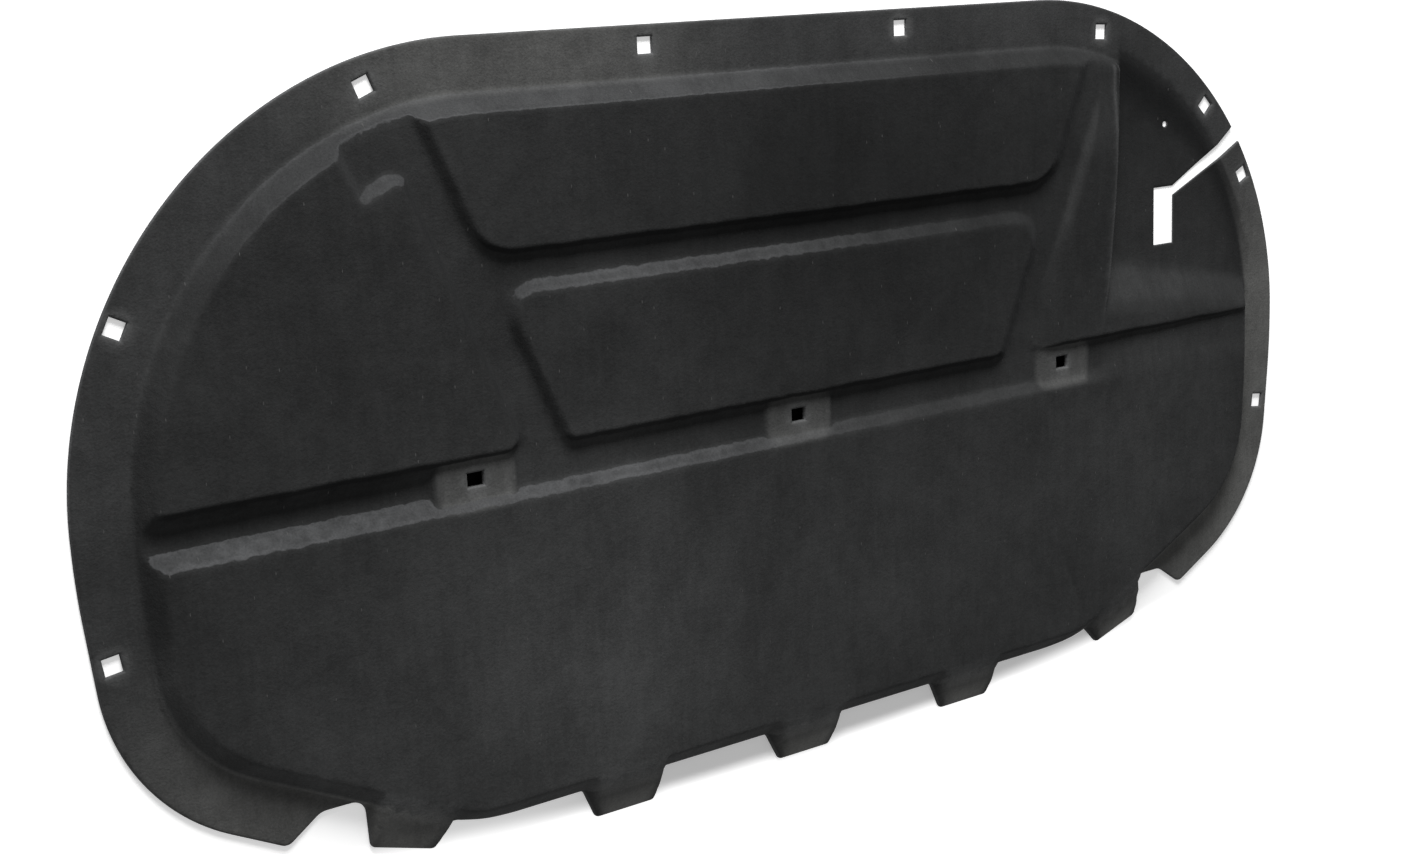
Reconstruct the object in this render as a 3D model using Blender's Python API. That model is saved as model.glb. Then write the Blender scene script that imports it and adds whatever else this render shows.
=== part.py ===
"""Hood insulation pad: one sheet of moulded black felt, lying face up.

X runs across the car, Y towards the windscreen and Z up out of the moulded face.
A flat rim runs round the sheet. Inside it a wall rises to the moulded fields, with
channels between them, clip seats in the channels and a pressed pocket on the right.
The right half is written down, and the left half mirrors it, apart from the pocket,
its slot and slit on the right and the deep channel and corner notch on the left.
Places along Y are measured from the line through the two lowest side clips.
"""
import math

import bmesh
import bpy
import numpy as np
from mathutils import Vector
from mathutils.geometry import delaunay_2d_cdt

# Felt: at its full thickness, along the rim and where the pocket is pressed
FELT = 0.005
RIM_FELT = 0.003
PRESSED_FELT = 0.0015

# Heights above the face of the rim
FIELD_RISE = 0.015
CHANNEL_RISE = 0.0075
DEEP_CHANNEL_RISE = 0.004
SHALLOW_CHANNEL_RISE = 0.008
SHALLOW_CHANNEL_END_RISE = 0.012
SEAT_RISE = 0.0095

# Walls: how far one of full height runs in plan, and how much height its round edges take
WALL_RUN = 0.014
EDGE_SOFTNESS = 0.0025

# Sheet outline, right half
HALF_WIDTH = 0.588
WINDSCREEN_EDGE = 0.3955
WINDSCREEN_CORNER_RADIUS = 0.3085
SIDE_BEND_Y = 0.055
SIDE_BEND_RADIUS = 0.6
FRONT_CORNER_INSET = 0.013
FRONT_CORNER_Y = -0.101
FRONT_CORNER_RADIUS = 0.154
FLAP_TIP = (0.461, -0.162)
FLAP_TIP_RADIUS = 0.008
FLAP_NOTCH_Y = -0.143
FLAP_NOTCH_OUTER_X = 0.434
FLAP_NOTCH_OUTER_RADIUS = 0.014
FLAP_NOTCH_INNER_X = 0.3995
FLAP_NOTCH_INNER_RADIUS = 0.011
FRONT_EDGE = -0.1875
FRONT_BEND_X = 0.292
FRONT_BEND_RADIUS = 0.15

# Tabs along the front edge: outer root, outer tip, inner tip, inner root
OUTER_TAB_TIP_OUT = (0.398, -0.181)
OUTER_TAB_TIP_IN = (0.348, -0.197)
OUTER_TAB_ROOT_IN = (0.331, -0.178)
MIDDLE_TAB_CENTRE = 0.1795
MIDDLE_TAB_ROOT_WIDTH = 0.075
MIDDLE_TAB_TIP_WIDTH = 0.054
CENTRE_TAB_ROOT_WIDTH = 0.077
CENTRE_TAB_TIP_WIDTH = 0.052
TAB_TIP_Y = -0.213
TAB_CORNER_RADIUS = 0.005
TAB_RAMP = 0.040
TAB_SIDE_RUN = 0.008
TAB_REACH = 0.075

# Foot of the wall round the fields
RIM_WIDTH = 0.040
WALL_CORNER_INSET = 0.005
WALL_CORNER_Y = -0.0745
WALL_CORNER_RADIUS = 0.115
WALL_FRONT_X = 0.319
WALL_FRONT_RADIUS = 0.08

# Fields
DIAGONAL_LEAN = 0.42
DIAGONAL_INNER_X = 0.216
DIAGONAL_WIDTH = 0.044
CROSS_CHANNEL_TOP = 0.098
CROSS_CHANNEL_BOTTOM = 0.0575
UPPER_FIELD_BOTTOM = 0.243
UPPER_FIELD_RADIUS = 0.022
LOWER_FIELD_TOP = 0.2095
LOWER_FIELD_RADIUS = 0.016
FIELD_CORNER_RADIUS = 0.007
NOTCH_TIP = (0.341, 0.299)
NOTCH_CORNER = (0.371, 0.284)
NOTCH_TOP = (0.392, 0.330)
NOTCH_RADIUS = 0.007
WEDGE_FADE_Y = 0.283
WEDGE_FADE_LENGTH = 0.030
WEDGE_SOFT_Y = 0.205
WEDGE_SOFT_RUN = 0.034

# Clip seats in the cross channel
SEAT_SPACING = 0.296
SEAT_WIDTH = 0.066
SEAT_RADIUS = 0.008
SEAT_FACE = (0.032, 0.021)

# Pocket on the right: its crease is the crest of its left wall
CREASE = ((0.340, 0.098), (0.350, 0.140), (0.358, 0.210), (0.363, 0.280), (0.366, 0.335))
POCKET_WALL_RUN = 0.012
POCKET_RIM_RUN = 0.022
POCKET_RIM_OVERLAP = 0.0065
RAMP_FOOT = ((0.379, 0.160), (0.551, 0.125))
RAMP_TOP = ((0.350, 0.115), (0.530, 0.101))

# Slot and slit through the pocket and the rim
SLOT_LEFT = 0.4255
SLOT_WIDTH = 0.0245
SLOT_BOTTOM = 0.1685
SLOT_TOP = 0.221
SLIT_UPPER_BEND = (0.509, 0.253)
SLIT_UPPER_MOUTH = (0.531, 0.270)
SLIT_LOWER_BEND = (0.514, 0.2415)
SLIT_LOWER_MOUTH = (0.542, 0.2565)
SLIT_OVERRUN = 0.015
SLIT_LOWER_DROP = 0.0085

# Clip holes along the sides: distance from the side, place along Y, and turn on the left and right
CLIP_HOLE = 0.0125
SIDE_CLIPS = (
    (0.018, 0.000, 8, -8),
    (0.044, 0.223, -27, 27),
)

# Clip holes along the windscreen edge: place along X, distance from the edge, and both turns
WINDSCREEN_CLIPS = (
    (0.3555, 0.0305, 22, -3),
    (0.1245, 0.0155, 0, 0),
)

# The clip hole by the slit, the holes in the seats and the pin hole
SLIT_CLIP = (0.4915, 0.2915, 45.0)
SEAT_HOLE_Y = 0.0795
SEAT_HOLE = (0.0135, 0.0105)
PIN_HOLE = (0.4390, 0.2780)
PIN_HOLE_RADIUS = 0.0025
PIN_HOLE_SIDES = 8

# How finely round stretches and long straight ones are divided
CHORD = 0.020
CHORD_TURN = math.radians(24)
MERGE = 0.0003

# How far a field's outline runs on under the wall round it
OVERRUN = 0.080

WALL_SLOPE = FIELD_RISE / WALL_RUN
CENTRE_Y = (WINDSCREEN_EDGE + TAB_TIP_Y) / 2


def soft_min(a, b, softness=EDGE_SOFTNESS):
    """The lower of two heights, rounded where they meet."""
    mix = np.clip(0.5 + 0.5 * (b - a) / softness, 0.0, 1.0)
    return b * (1 - mix) + a * mix - softness * mix * (1 - mix)


def soft_max(a, b, softness=EDGE_SOFTNESS):
    """The higher of two heights, rounded where they meet."""
    return -soft_min(-a, -b, softness)


def divided(start, end, longest=CHORD):
    """Points from start up to, but not including, end."""
    start, end = np.array(start), np.array(end)
    count = max(1, math.ceil(np.linalg.norm(end - start) / longest - 1e-6))
    return [start + (end - start) * i / count for i in range(count)]


def fillet(before, corner, after, radius):
    """Points of the arc that rounds a corner."""
    before, corner, after = np.array(before), np.array(corner), np.array(after)
    way_in = (corner - before) / np.linalg.norm(corner - before)
    way_out = (after - corner) / np.linalg.norm(after - corner)
    turn = math.atan2(way_in[0] * way_out[1] - way_in[1] * way_out[0], way_in @ way_out)
    if radius <= 0 or abs(turn) < 1e-6:
        return [corner]
    reach = radius * math.tan(abs(turn) / 2)
    first = corner - way_in * reach
    side = math.copysign(1.0, turn)
    centre = first + side * radius * np.array((-way_in[1], way_in[0]))
    steps = max(1, math.ceil(abs(turn) / CHORD_TURN), math.ceil(abs(turn) * radius / CHORD))
    arm = first - centre
    points = []
    for i in range(steps + 1):
        c, s = math.cos(turn * i / steps), math.sin(turn * i / steps)
        points.append(centre + (c * arm[0] - s * arm[1], s * arm[0] + c * arm[1]))
    return points


def rounded(corners):
    """A closed outline through corners given as x, y and radius."""
    arcs = []
    for i, (x, y, radius) in enumerate(corners):
        before, after = corners[i - 1][:2], corners[(i + 1) % len(corners)][:2]
        arcs.append(fillet(before, (x, y), after, radius))
    points = []
    for i, arc in enumerate(arcs):
        points += arc[:-1]
        points += divided(arc[-1], arcs[(i + 1) % len(arcs)][0])
    return np.array(points)


def grown(corners, distance):
    """The corners of an outline moved out by a distance, or in where it is negative."""
    xy = np.array([corner[:2] for corner in corners])
    following = np.roll(xy, -1, axis=0)
    turning = np.sign(np.sum(xy[:, 0] * following[:, 1] - following[:, 0] * xy[:, 1]))
    result = []
    for i, (x, y, radius) in enumerate(corners):
        way_in = xy[i] - xy[i - 1]
        way_out = following[i] - xy[i]
        way_in, way_out = way_in / np.linalg.norm(way_in), way_out / np.linalg.norm(way_out)
        out_a = turning * np.array((way_in[1], -way_in[0]))
        out_b = turning * np.array((way_out[1], -way_out[0]))
        moved = xy[i] + distance * (out_a + out_b) / (1 + out_a @ out_b)
        bend = turning * (way_in[0] * way_out[1] - way_in[1] * way_out[0])
        result.append((*moved, max(0.0, radius + distance * math.copysign(1.0, bend))))
    return result


def both_sides(corners):
    """The right half's corners, followed by their mirror images."""
    return list(corners) + [(-x, y, radius) for x, y, radius in reversed(corners)]


def outside(points, loop):
    """Distance of each point outside a closed outline, negative inside it."""
    start, end = loop, np.roll(loop, -1, axis=0)
    edge = end - start
    away = points[:, None, :] - start[None]
    share = np.clip(np.sum(away * edge, axis=2) / np.sum(edge * edge, axis=1), 0, 1)
    near = away - share[..., None] * edge
    distance = np.sqrt(np.min(np.sum(near * near, axis=2), axis=1))
    level = (start[:, 1] > points[:, None, 1]) != (end[:, 1] > points[:, None, 1])
    rise = np.where(edge[:, 1] == 0, 1.0, edge[:, 1])
    crossing = start[:, 0] + (points[:, None, 1] - start[:, 1]) * edge[:, 0] / rise
    inside = np.sum(level & (points[:, None, 0] < crossing), axis=1) % 2 == 1
    return np.where(inside, -distance, distance)


def sheet_corners():
    """The right half of the sheet's edge, from the windscreen corner to the centre tab."""
    middle_root, middle_tip = MIDDLE_TAB_ROOT_WIDTH / 2, MIDDLE_TAB_TIP_WIDTH / 2
    return [
        (HALF_WIDTH, WINDSCREEN_EDGE, WINDSCREEN_CORNER_RADIUS),
        (HALF_WIDTH, SIDE_BEND_Y, SIDE_BEND_RADIUS),
        (HALF_WIDTH - FRONT_CORNER_INSET, FRONT_CORNER_Y, FRONT_CORNER_RADIUS),
        (*FLAP_TIP, FLAP_TIP_RADIUS),
        (FLAP_NOTCH_OUTER_X, FLAP_NOTCH_Y, FLAP_NOTCH_OUTER_RADIUS),
        (FLAP_NOTCH_INNER_X, FLAP_NOTCH_Y, FLAP_NOTCH_INNER_RADIUS),
        (*OUTER_TAB_TIP_OUT, TAB_CORNER_RADIUS),
        (*OUTER_TAB_TIP_IN, TAB_CORNER_RADIUS),
        (*OUTER_TAB_ROOT_IN, TAB_CORNER_RADIUS),
        (FRONT_BEND_X, FRONT_EDGE, FRONT_BEND_RADIUS),
        (MIDDLE_TAB_CENTRE + middle_root, FRONT_EDGE, TAB_CORNER_RADIUS),
        (MIDDLE_TAB_CENTRE + middle_tip, TAB_TIP_Y, TAB_CORNER_RADIUS),
        (MIDDLE_TAB_CENTRE - middle_tip, TAB_TIP_Y, TAB_CORNER_RADIUS),
        (MIDDLE_TAB_CENTRE - middle_root, FRONT_EDGE, TAB_CORNER_RADIUS),
        (CENTRE_TAB_ROOT_WIDTH / 2, FRONT_EDGE, TAB_CORNER_RADIUS),
        (CENTRE_TAB_TIP_WIDTH / 2, TAB_TIP_Y, TAB_CORNER_RADIUS),
    ]


def wall_corners():
    """The right half of the foot of the wall round the fields."""
    foot_x = HALF_WIDTH - RIM_WIDTH
    return [
        (foot_x, WINDSCREEN_EDGE - RIM_WIDTH, WINDSCREEN_CORNER_RADIUS - RIM_WIDTH),
        (foot_x, SIDE_BEND_Y, SIDE_BEND_RADIUS),
        (foot_x - WALL_CORNER_INSET, WALL_CORNER_Y, WALL_CORNER_RADIUS),
        (WALL_FRONT_X, FRONT_EDGE, WALL_FRONT_RADIUS),
    ]


def diagonal(y):
    """How far out the inner edge of a diagonal channel is at a height on the sheet."""
    return DIAGONAL_INNER_X + DIAGONAL_LEAN * (y - CROSS_CHANNEL_TOP)


def field_corners():
    """The crest of each field by name; they run on under the wall round them."""
    far_x, far_y = HALF_WIDTH + OVERRUN, WINDSCREEN_EDGE + OVERRUN
    near_y = TAB_TIP_Y - OVERRUN
    outer = diagonal(CROSS_CHANNEL_TOP) + DIAGONAL_WIDTH
    upper = [
        (diagonal(far_y), far_y, 0),
        (diagonal(UPPER_FIELD_BOTTOM), UPPER_FIELD_BOTTOM, UPPER_FIELD_RADIUS),
    ]
    lower = [
        (diagonal(LOWER_FIELD_TOP), LOWER_FIELD_TOP, LOWER_FIELD_RADIUS),
        (diagonal(CROSS_CHANNEL_TOP), CROSS_CHANNEL_TOP, FIELD_CORNER_RADIUS),
    ]
    left = [
        (-outer, CROSS_CHANNEL_TOP, FIELD_CORNER_RADIUS),
        (-NOTCH_TIP[0], NOTCH_TIP[1], NOTCH_RADIUS),
        (-NOTCH_CORNER[0], NOTCH_CORNER[1], NOTCH_RADIUS),
        (-NOTCH_TOP[0], NOTCH_TOP[1], 0),
        (-NOTCH_TOP[0], far_y, 0),
        (-far_x, far_y, 0),
        (-far_x, CROSS_CHANNEL_TOP, 0),
    ]
    right = [
        (outer, CROSS_CHANNEL_TOP, FIELD_CORNER_RADIUS),
        (diagonal(far_y) + DIAGONAL_WIDTH, far_y, 0),
        (far_x, far_y, 0),
        (far_x, CROSS_CHANNEL_TOP, 0),
    ]
    front = [(far_x, CROSS_CHANNEL_BOTTOM, 0), (far_x, near_y, 0)]
    return {
        "upper": both_sides(upper),
        "lower": both_sides(lower),
        "left": left,
        "right": right,
        "front": both_sides(front),
    }


def box_corners(low_x, low_y, high_x, high_y, radius=0.0):
    corners = ((low_x, low_y), (high_x, low_y), (high_x, high_y), (low_x, high_y))
    return [(x, y, radius) for x, y in corners]


def seat_corners():
    """The clip seats across the cross channel, from left to right."""
    half = SEAT_WIDTH / 2
    return [
        box_corners(x - half, CROSS_CHANNEL_BOTTOM, x + half, CROSS_CHANNEL_TOP, SEAT_RADIUS)
        for x in (-SEAT_SPACING, 0.0, SEAT_SPACING)
    ]


def seat_faces():
    """The flat round the hole in each seat, on which a clip's head bears."""
    width, height = SEAT_FACE
    return [
        box_corners(x - width / 2, SEAT_HOLE_Y - height / 2, x + width / 2, SEAT_HOLE_Y + height / 2)
        for x in (-SEAT_SPACING, 0.0, SEAT_SPACING)
    ]


def tab_edges():
    """Root and tip points of each tab, with the sheet on the right of every step."""
    middle_root, middle_tip = MIDDLE_TAB_ROOT_WIDTH / 2, MIDDLE_TAB_TIP_WIDTH / 2
    right_tabs = [
        ((FLAP_NOTCH_INNER_X, FLAP_NOTCH_Y), OUTER_TAB_TIP_OUT, OUTER_TAB_TIP_IN, OUTER_TAB_ROOT_IN),
        (
            (MIDDLE_TAB_CENTRE + middle_root, FRONT_EDGE),
            (MIDDLE_TAB_CENTRE + middle_tip, TAB_TIP_Y),
            (MIDDLE_TAB_CENTRE - middle_tip, TAB_TIP_Y),
            (MIDDLE_TAB_CENTRE - middle_root, FRONT_EDGE),
        ),
    ]
    left_tabs = [tuple((-x, y) for x, y in reversed(tab)) for tab in right_tabs]
    root, tip = CENTRE_TAB_ROOT_WIDTH / 2, CENTRE_TAB_TIP_WIDTH / 2
    centre_tab = ((root, FRONT_EDGE), (tip, TAB_TIP_Y), (-tip, TAB_TIP_Y), (-root, FRONT_EDGE))
    return right_tabs + [centre_tab] + left_tabs


def inward(points, start, end):
    """How far each point is to the right of the line from start to end."""
    way = np.array(end) - np.array(start)
    way = way / np.linalg.norm(way)
    away = points - np.array(start)
    return away[:, 0] * way[1] - away[:, 1] * way[0]


def tab_rise(points, tab):
    """A tab slopes from the field down to the rim at its tip, with short walls at its sides."""
    root_out, tip_out, tip_in, root_in = tab
    in_from_tip = inward(points, tip_out, tip_in)
    top = np.full(len(points), FIELD_RISE - EDGE_SOFTNESS / 2)
    rise = soft_min(in_from_tip * FIELD_RISE / TAB_RAMP, top)
    rise = np.minimum(rise, (TAB_REACH - in_from_tip) * WALL_SLOPE)
    for start, end in ((root_out, tip_out), (tip_in, root_in)):
        rise = soft_min(rise, inward(points, start, end) * FIELD_RISE / TAB_SIDE_RUN)
    return rise


def line_y(points, ends):
    """Y of a straight line, at each point's X."""
    (x0, y0), (x1, y1) = ends
    return y0 + (points[:, 0] - x0) * (y1 - y0) / (x1 - x0)


def crease_x(points):
    """X of the pocket's crease, at each point's Y."""
    crease = np.array(CREASE)
    return np.interp(points[:, 1], crease[:, 1], crease[:, 0])


def windscreen_corner():
    """Centre of the arc that rounds the sheet's windscreen corner on the right."""
    return np.array((HALF_WIDTH - WINDSCREEN_CORNER_RADIUS, WINDSCREEN_EDGE - WINDSCREEN_CORNER_RADIUS))


def pocket_rim_radius():
    return WINDSCREEN_CORNER_RADIUS - RIM_WIDTH + POCKET_RIM_OVERLAP


def pocket_rise(points):
    """The pocket's floor, its steep left wall, its soft wall at the rim and its ramp."""
    floor = PRESSED_FELT - RIM_FELT
    depth = FIELD_RISE - floor
    left = FIELD_RISE - depth * (points[:, 0] - crease_x(points)) / POCKET_WALL_RUN
    centre = windscreen_corner()
    radius = np.hypot(points[:, 0] - centre[0], np.maximum(points[:, 1] - centre[1], 0))
    rim = (radius - pocket_rim_radius()) * -floor / POCKET_RIM_RUN
    foot, top = line_y(points, RAMP_FOOT), line_y(points, RAMP_TOP)
    ramp = floor + depth * (foot - points[:, 1]) / (foot - top)
    walls = soft_max(soft_max(left, rim), ramp)
    return soft_max(np.full(len(points), floor), walls, EDGE_SOFTNESS / 2)


class Relief:
    """The moulded face: its height above the floor, and the lines along which it bends."""

    def __init__(self):
        self.foot = both_sides(wall_corners())
        self.foot_loop = rounded(self.foot)
        self.fields = field_corners()
        self.field_loops = {name: rounded(corners) for name, corners in self.fields.items()}
        self.seats = [rounded(corners) for corners in seat_corners()]
        seat_start = SEAT_SPACING - SEAT_WIDTH / 2
        low_y, high_y = CROSS_CHANNEL_BOTTOM, CROSS_CHANNEL_TOP
        far_x = HALF_WIDTH + OVERRUN
        self.deep = rounded(box_corners(-far_x, low_y, -SEAT_SPACING, high_y))
        self.shallow = rounded(box_corners(seat_start, low_y, far_x, high_y))

    def cone(self, points, loop, rise):
        """A plateau that slopes away outside its crest."""
        return rise - WALL_SLOPE * outside(points, loop)

    def floor_rise(self, points):
        """The channels and the clip seats in them."""
        rise = np.full(len(points), CHANNEL_RISE)
        deep = DEEP_CHANNEL_RISE + WALL_SLOPE * np.maximum(outside(points, self.deep), 0)
        rise = soft_min(rise, deep)
        share = np.clip((points[:, 0] - SEAT_SPACING) / (HALF_WIDTH - RIM_WIDTH - SEAT_SPACING), 0, 1)
        shallow = SHALLOW_CHANNEL_RISE + share * (SHALLOW_CHANNEL_END_RISE - SHALLOW_CHANNEL_RISE)
        shallow = np.minimum(shallow, self.cone(points, self.shallow, SHALLOW_CHANNEL_END_RISE))
        rise = np.maximum(rise, shallow)
        for seat in self.seats:
            top = soft_min(self.cone(points, seat, SEAT_RISE), SEAT_RISE)
            rise = soft_max(rise, top, EDGE_SOFTNESS / 2)
        return rise

    def field_rise(self, points, name):
        rise = soft_min(self.cone(points, self.field_loops[name], FIELD_RISE), FIELD_RISE)
        if name == "right":
            step = FIELD_RISE - CHANNEL_RISE
            fall = step * (points[:, 1] - WEDGE_FADE_Y) / WEDGE_FADE_LENGTH
            rise = soft_min(rise, FIELD_RISE - fall)
            run = step / WALL_SLOPE
            foot = diagonal(points[:, 1]) + DIAGONAL_WIDTH - run
            low = (WEDGE_SOFT_Y - points[:, 1]) / (WEDGE_SOFT_Y - CROSS_CHANNEL_TOP)
            run = run + (WEDGE_SOFT_RUN - run) * np.clip(low, 0, 1)
            rise = np.minimum(rise, CHANNEL_RISE + step * (points[:, 0] - foot) / run)
        return rise

    def wall_rise(self, points):
        return -WALL_SLOPE * outside(points, self.foot_loop)

    def rise(self, points):
        """Height of the face above the rim."""
        rise = self.floor_rise(points)
        for name in self.fields:
            rise = soft_max(rise, self.field_rise(points, name))
        rise = soft_max(soft_min(rise, self.wall_rise(points)), 0.0)
        for tab in tab_edges():
            rise = soft_max(rise, tab_rise(points, tab), EDGE_SOFTNESS / 2)
        rise = soft_min(rise, pocket_rise(points), EDGE_SOFTNESS / 2)
        return rise

    def bend_lines(self):
        """Lines along each wall: at its crest, on its slope and at its foot."""
        lines = []
        soft = EDGE_SOFTNESS / WALL_SLOPE
        for run in (-soft, soft, WALL_RUN / 2, WALL_RUN - soft, WALL_RUN + soft):
            loop = rounded(grown(self.foot, -run))
            gap = np.abs(self.rise(loop) - soft_max(self.wall_rise(loop), 0.0))
            lines += kept_runs(loop, (gap < EDGE_SOFTNESS) & (self.rise(loop) > -EDGE_SOFTNESS / 4))
        runs = [-soft, soft]
        for floor in (CHANNEL_RISE, DEEP_CHANNEL_RISE):
            run = (FIELD_RISE - floor) / WALL_SLOPE
            runs += [run - soft / 2, run + soft / 2]
        for run in runs:
            for name, corners in self.fields.items():
                loop = rounded(grown(corners, run))
                gap = self.rise(loop) - self.field_rise(loop, name)
                under_wall = self.wall_rise(loop) > FIELD_RISE - WALL_SLOPE * max(run, 0) + EDGE_SOFTNESS / 2
                lines += kept_runs(loop, (np.abs(gap) < EDGE_SOFTNESS) & under_wall)
        lines += [np.vstack([loop, loop[:1]]) for loop in map(rounded, seat_faces())]
        for floor in (SEAT_RISE, CHANNEL_RISE, DEEP_CHANNEL_RISE):
            run = (SEAT_RISE - floor) / WALL_SLOPE
            for corners in seat_corners():
                loop = rounded(grown(corners, run))
                gap = self.rise(loop) - self.cone(loop, rounded(corners), SEAT_RISE)
                lines += kept_runs(loop, np.abs(gap) < EDGE_SOFTNESS)
        return lines


def kept_runs(loop, keep):
    """Stretches of a loop whose points are kept, the closed loop itself if all are."""
    if keep.all():
        return [np.vstack([loop, loop[:1]])]
    first = int(np.argmin(keep))
    order = [(first + i) % len(loop) for i in range(len(loop))]
    runs, run = [], []
    for i in order:
        if keep[i]:
            run.append(loop[i])
        elif run:
            runs.append(run)
            run = []
    if run:
        runs.append(run)
    return [np.array(run) for run in runs if len(run) > 1]


def polyline(points, longest=CHORD):
    """An open line through points, divided where it is long."""
    result = []
    for start, end in zip(points, points[1:]):
        result += divided(start, end, longest)
    return np.array(result + [np.array(points[-1])])


def pocket_lines():
    """Lines along the pocket's crease, its wall at the rim and its ramp."""
    crease = np.array(CREASE)
    soft = EDGE_SOFTNESS / 4
    lines = []
    for offset in (-soft, soft, POCKET_WALL_RUN - soft, POCKET_WALL_RUN + soft):
        lines.append(polyline(crease + (offset, 0)))
    for run in (0.0, POCKET_RIM_RUN / 2, POCKET_RIM_RUN):
        radius = pocket_rim_radius() - run
        turns = np.linspace(0, math.pi / 2, math.ceil(radius * math.pi / 2 / CHORD) + 1)
        arc = windscreen_corner() + radius * np.stack([np.cos(turns), np.sin(turns)], axis=1)
        lines += kept_runs(arc, (arc[:, 0] > crease_x(arc)) & (arc[:, 1] > line_y(arc, RAMP_FOOT)))
    foot, top = np.array(RAMP_FOOT), np.array(RAMP_TOP)
    for share in (0.0, 0.5, 1.0):
        lines.append(polyline(foot + (top - foot) * share))
    return lines


def clip_holes():
    """Every clip hole as centre, size and turn."""
    pairs = [(HALF_WIDTH - inset, y, left, right) for inset, y, left, right in SIDE_CLIPS]
    pairs += [(x, WINDSCREEN_EDGE - inset, left, right) for x, inset, left, right in WINDSCREEN_CLIPS]
    holes = []
    for x, y, left, right in pairs:
        holes.append((-x, y, (CLIP_HOLE, CLIP_HOLE), left))
        holes.append((x, y, (CLIP_HOLE, CLIP_HOLE), right))
    holes.append((SLIT_CLIP[0], SLIT_CLIP[1], (CLIP_HOLE, CLIP_HOLE), SLIT_CLIP[2]))
    for x in (-SEAT_SPACING, 0.0, SEAT_SPACING):
        holes.append((x, SEAT_HOLE_Y, SEAT_HOLE, 0.0))
    return holes


def hole_loops():
    """The outlines cut through the sheet."""
    loops = []
    for x, y, (width, height), turn in clip_holes():
        c, s = math.cos(math.radians(turn)), math.sin(math.radians(turn))
        corners = box_corners(-width / 2, -height / 2, width / 2, height / 2)
        loops.append(np.array([(x + c * u - s * v, y + s * u + c * v) for u, v, _ in corners]))
    turns = np.arange(PIN_HOLE_SIDES) * math.tau / PIN_HOLE_SIDES
    circle = np.stack([np.cos(turns), np.sin(turns)], axis=1)
    loops.append(np.array(PIN_HOLE) + PIN_HOLE_RADIUS * circle)
    upper_way = np.array(SLIT_UPPER_MOUTH) - np.array(SLIT_UPPER_BEND)
    lower_way = np.array(SLIT_LOWER_MOUTH) - np.array(SLIT_LOWER_BEND)
    slot_right = SLOT_LEFT + SLOT_WIDTH
    loops.append(np.array([
        (SLOT_LEFT, SLOT_BOTTOM),
        (slot_right, SLOT_BOTTOM),
        (slot_right, SLOT_TOP - SLIT_LOWER_DROP),
        SLIT_LOWER_BEND,
        SLIT_LOWER_MOUTH,
        np.array(SLIT_LOWER_MOUTH) + lower_way / np.linalg.norm(lower_way) * SLIT_OVERRUN,
        np.array(SLIT_UPPER_MOUTH) + upper_way / np.linalg.norm(upper_way) * SLIT_OVERRUN,
        SLIT_UPPER_MOUTH,
        SLIT_UPPER_BEND,
        (slot_right, SLOT_TOP),
        (SLOT_LEFT, SLOT_TOP),
    ]))
    return loops


def face_triangles():
    """The moulded face in plan: its points and the triangles between its bend lines."""
    relief = Relief()
    edge = rounded(both_sides(sheet_corners()))
    holes = hole_loops()
    closed = [np.vstack([loop, loop[:1]]) for loop in [edge] + holes]
    points, edges = [], []
    for line in closed + relief.bend_lines() + pocket_lines():
        first = len(points)
        points += [Vector(point) for point in line]
        edges += [(first + i, first + i + 1) for i in range(len(line) - 1)]
    flat, _, faces, _, _, _ = delaunay_2d_cdt(points, edges, [], 0, MERGE, False)
    flat = np.array([tuple(point) for point in flat])
    faces = np.array(faces)
    centres = flat[faces].mean(axis=1)
    keep = outside(centres, edge) < 0
    for hole in holes:
        keep &= outside(centres, hole) > 0
    return flat, faces[keep], RIM_FELT + relief.rise(flat)


def build_sheet():
    """The face, and under it the back, one thickness of felt lower and never below the floor."""
    flat, faces, heights = face_triangles()
    bm = bmesh.new()
    verts = [bm.verts.new((x, y - CENTRE_Y, z)) for (x, y), z in zip(flat, heights)]
    for face in faces:
        bm.faces.new([verts[i] for i in face])
    loose = [v for v in bm.verts if not v.link_faces]
    bmesh.ops.delete(bm, geom=loose, context="VERTS")
    face_geom = bm.verts[:] + bm.edges[:] + bm.faces[:]
    lowered = bmesh.ops.extrude_face_region(bm, geom=face_geom, use_keep_orig=True)["geom"]
    for item in lowered:
        if isinstance(item, bmesh.types.BMVert):
            item.co.z = max(item.co.z - FELT, 0.0)
    bmesh.ops.recalc_face_normals(bm, faces=bm.faces[:])
    mesh = bpy.data.meshes.new("insulation_pad")
    bm.to_mesh(mesh)
    bm.free()
    return mesh


def felt_material():
    material = bpy.data.materials.new("black_felt")
    material.use_nodes = True
    shader = material.node_tree.nodes["Principled BSDF"]
    shader.inputs["Base Color"].default_value = (0.045, 0.046, 0.050, 1)
    shader.inputs["Roughness"].default_value = 0.95
    shader.inputs["Metallic"].default_value = 0.0
    return material


def main():
    for item in list(bpy.data.objects):
        bpy.data.objects.remove(item, do_unlink=True)
    parts = bpy.data.collections.new("hood_insulation_pad")
    bpy.context.scene.collection.children.link(parts)
    mesh = build_sheet()
    mesh.materials.append(felt_material())
    mesh.shade_smooth()
    mesh.set_sharp_from_angle(angle=math.radians(30))
    parts.objects.link(bpy.data.objects.new("insulation_pad", mesh))


main()
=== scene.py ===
"""Looks of the hood insulation pad: its felt as a fine moulded sheet on a pale floor.

The sheet is drawn again from the same outlines as its solid, much finer, with rounded
cut edges and the soft unevenness of needled felt. Places along Y are measured from the
line through the two lowest side clips, as on the solid, and shifted into the frame last.
"""
import math

import bpy
import numpy as np
from mathutils import Matrix, Vector, noise
from mathutils.geometry import delaunay_2d_cdt


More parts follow.
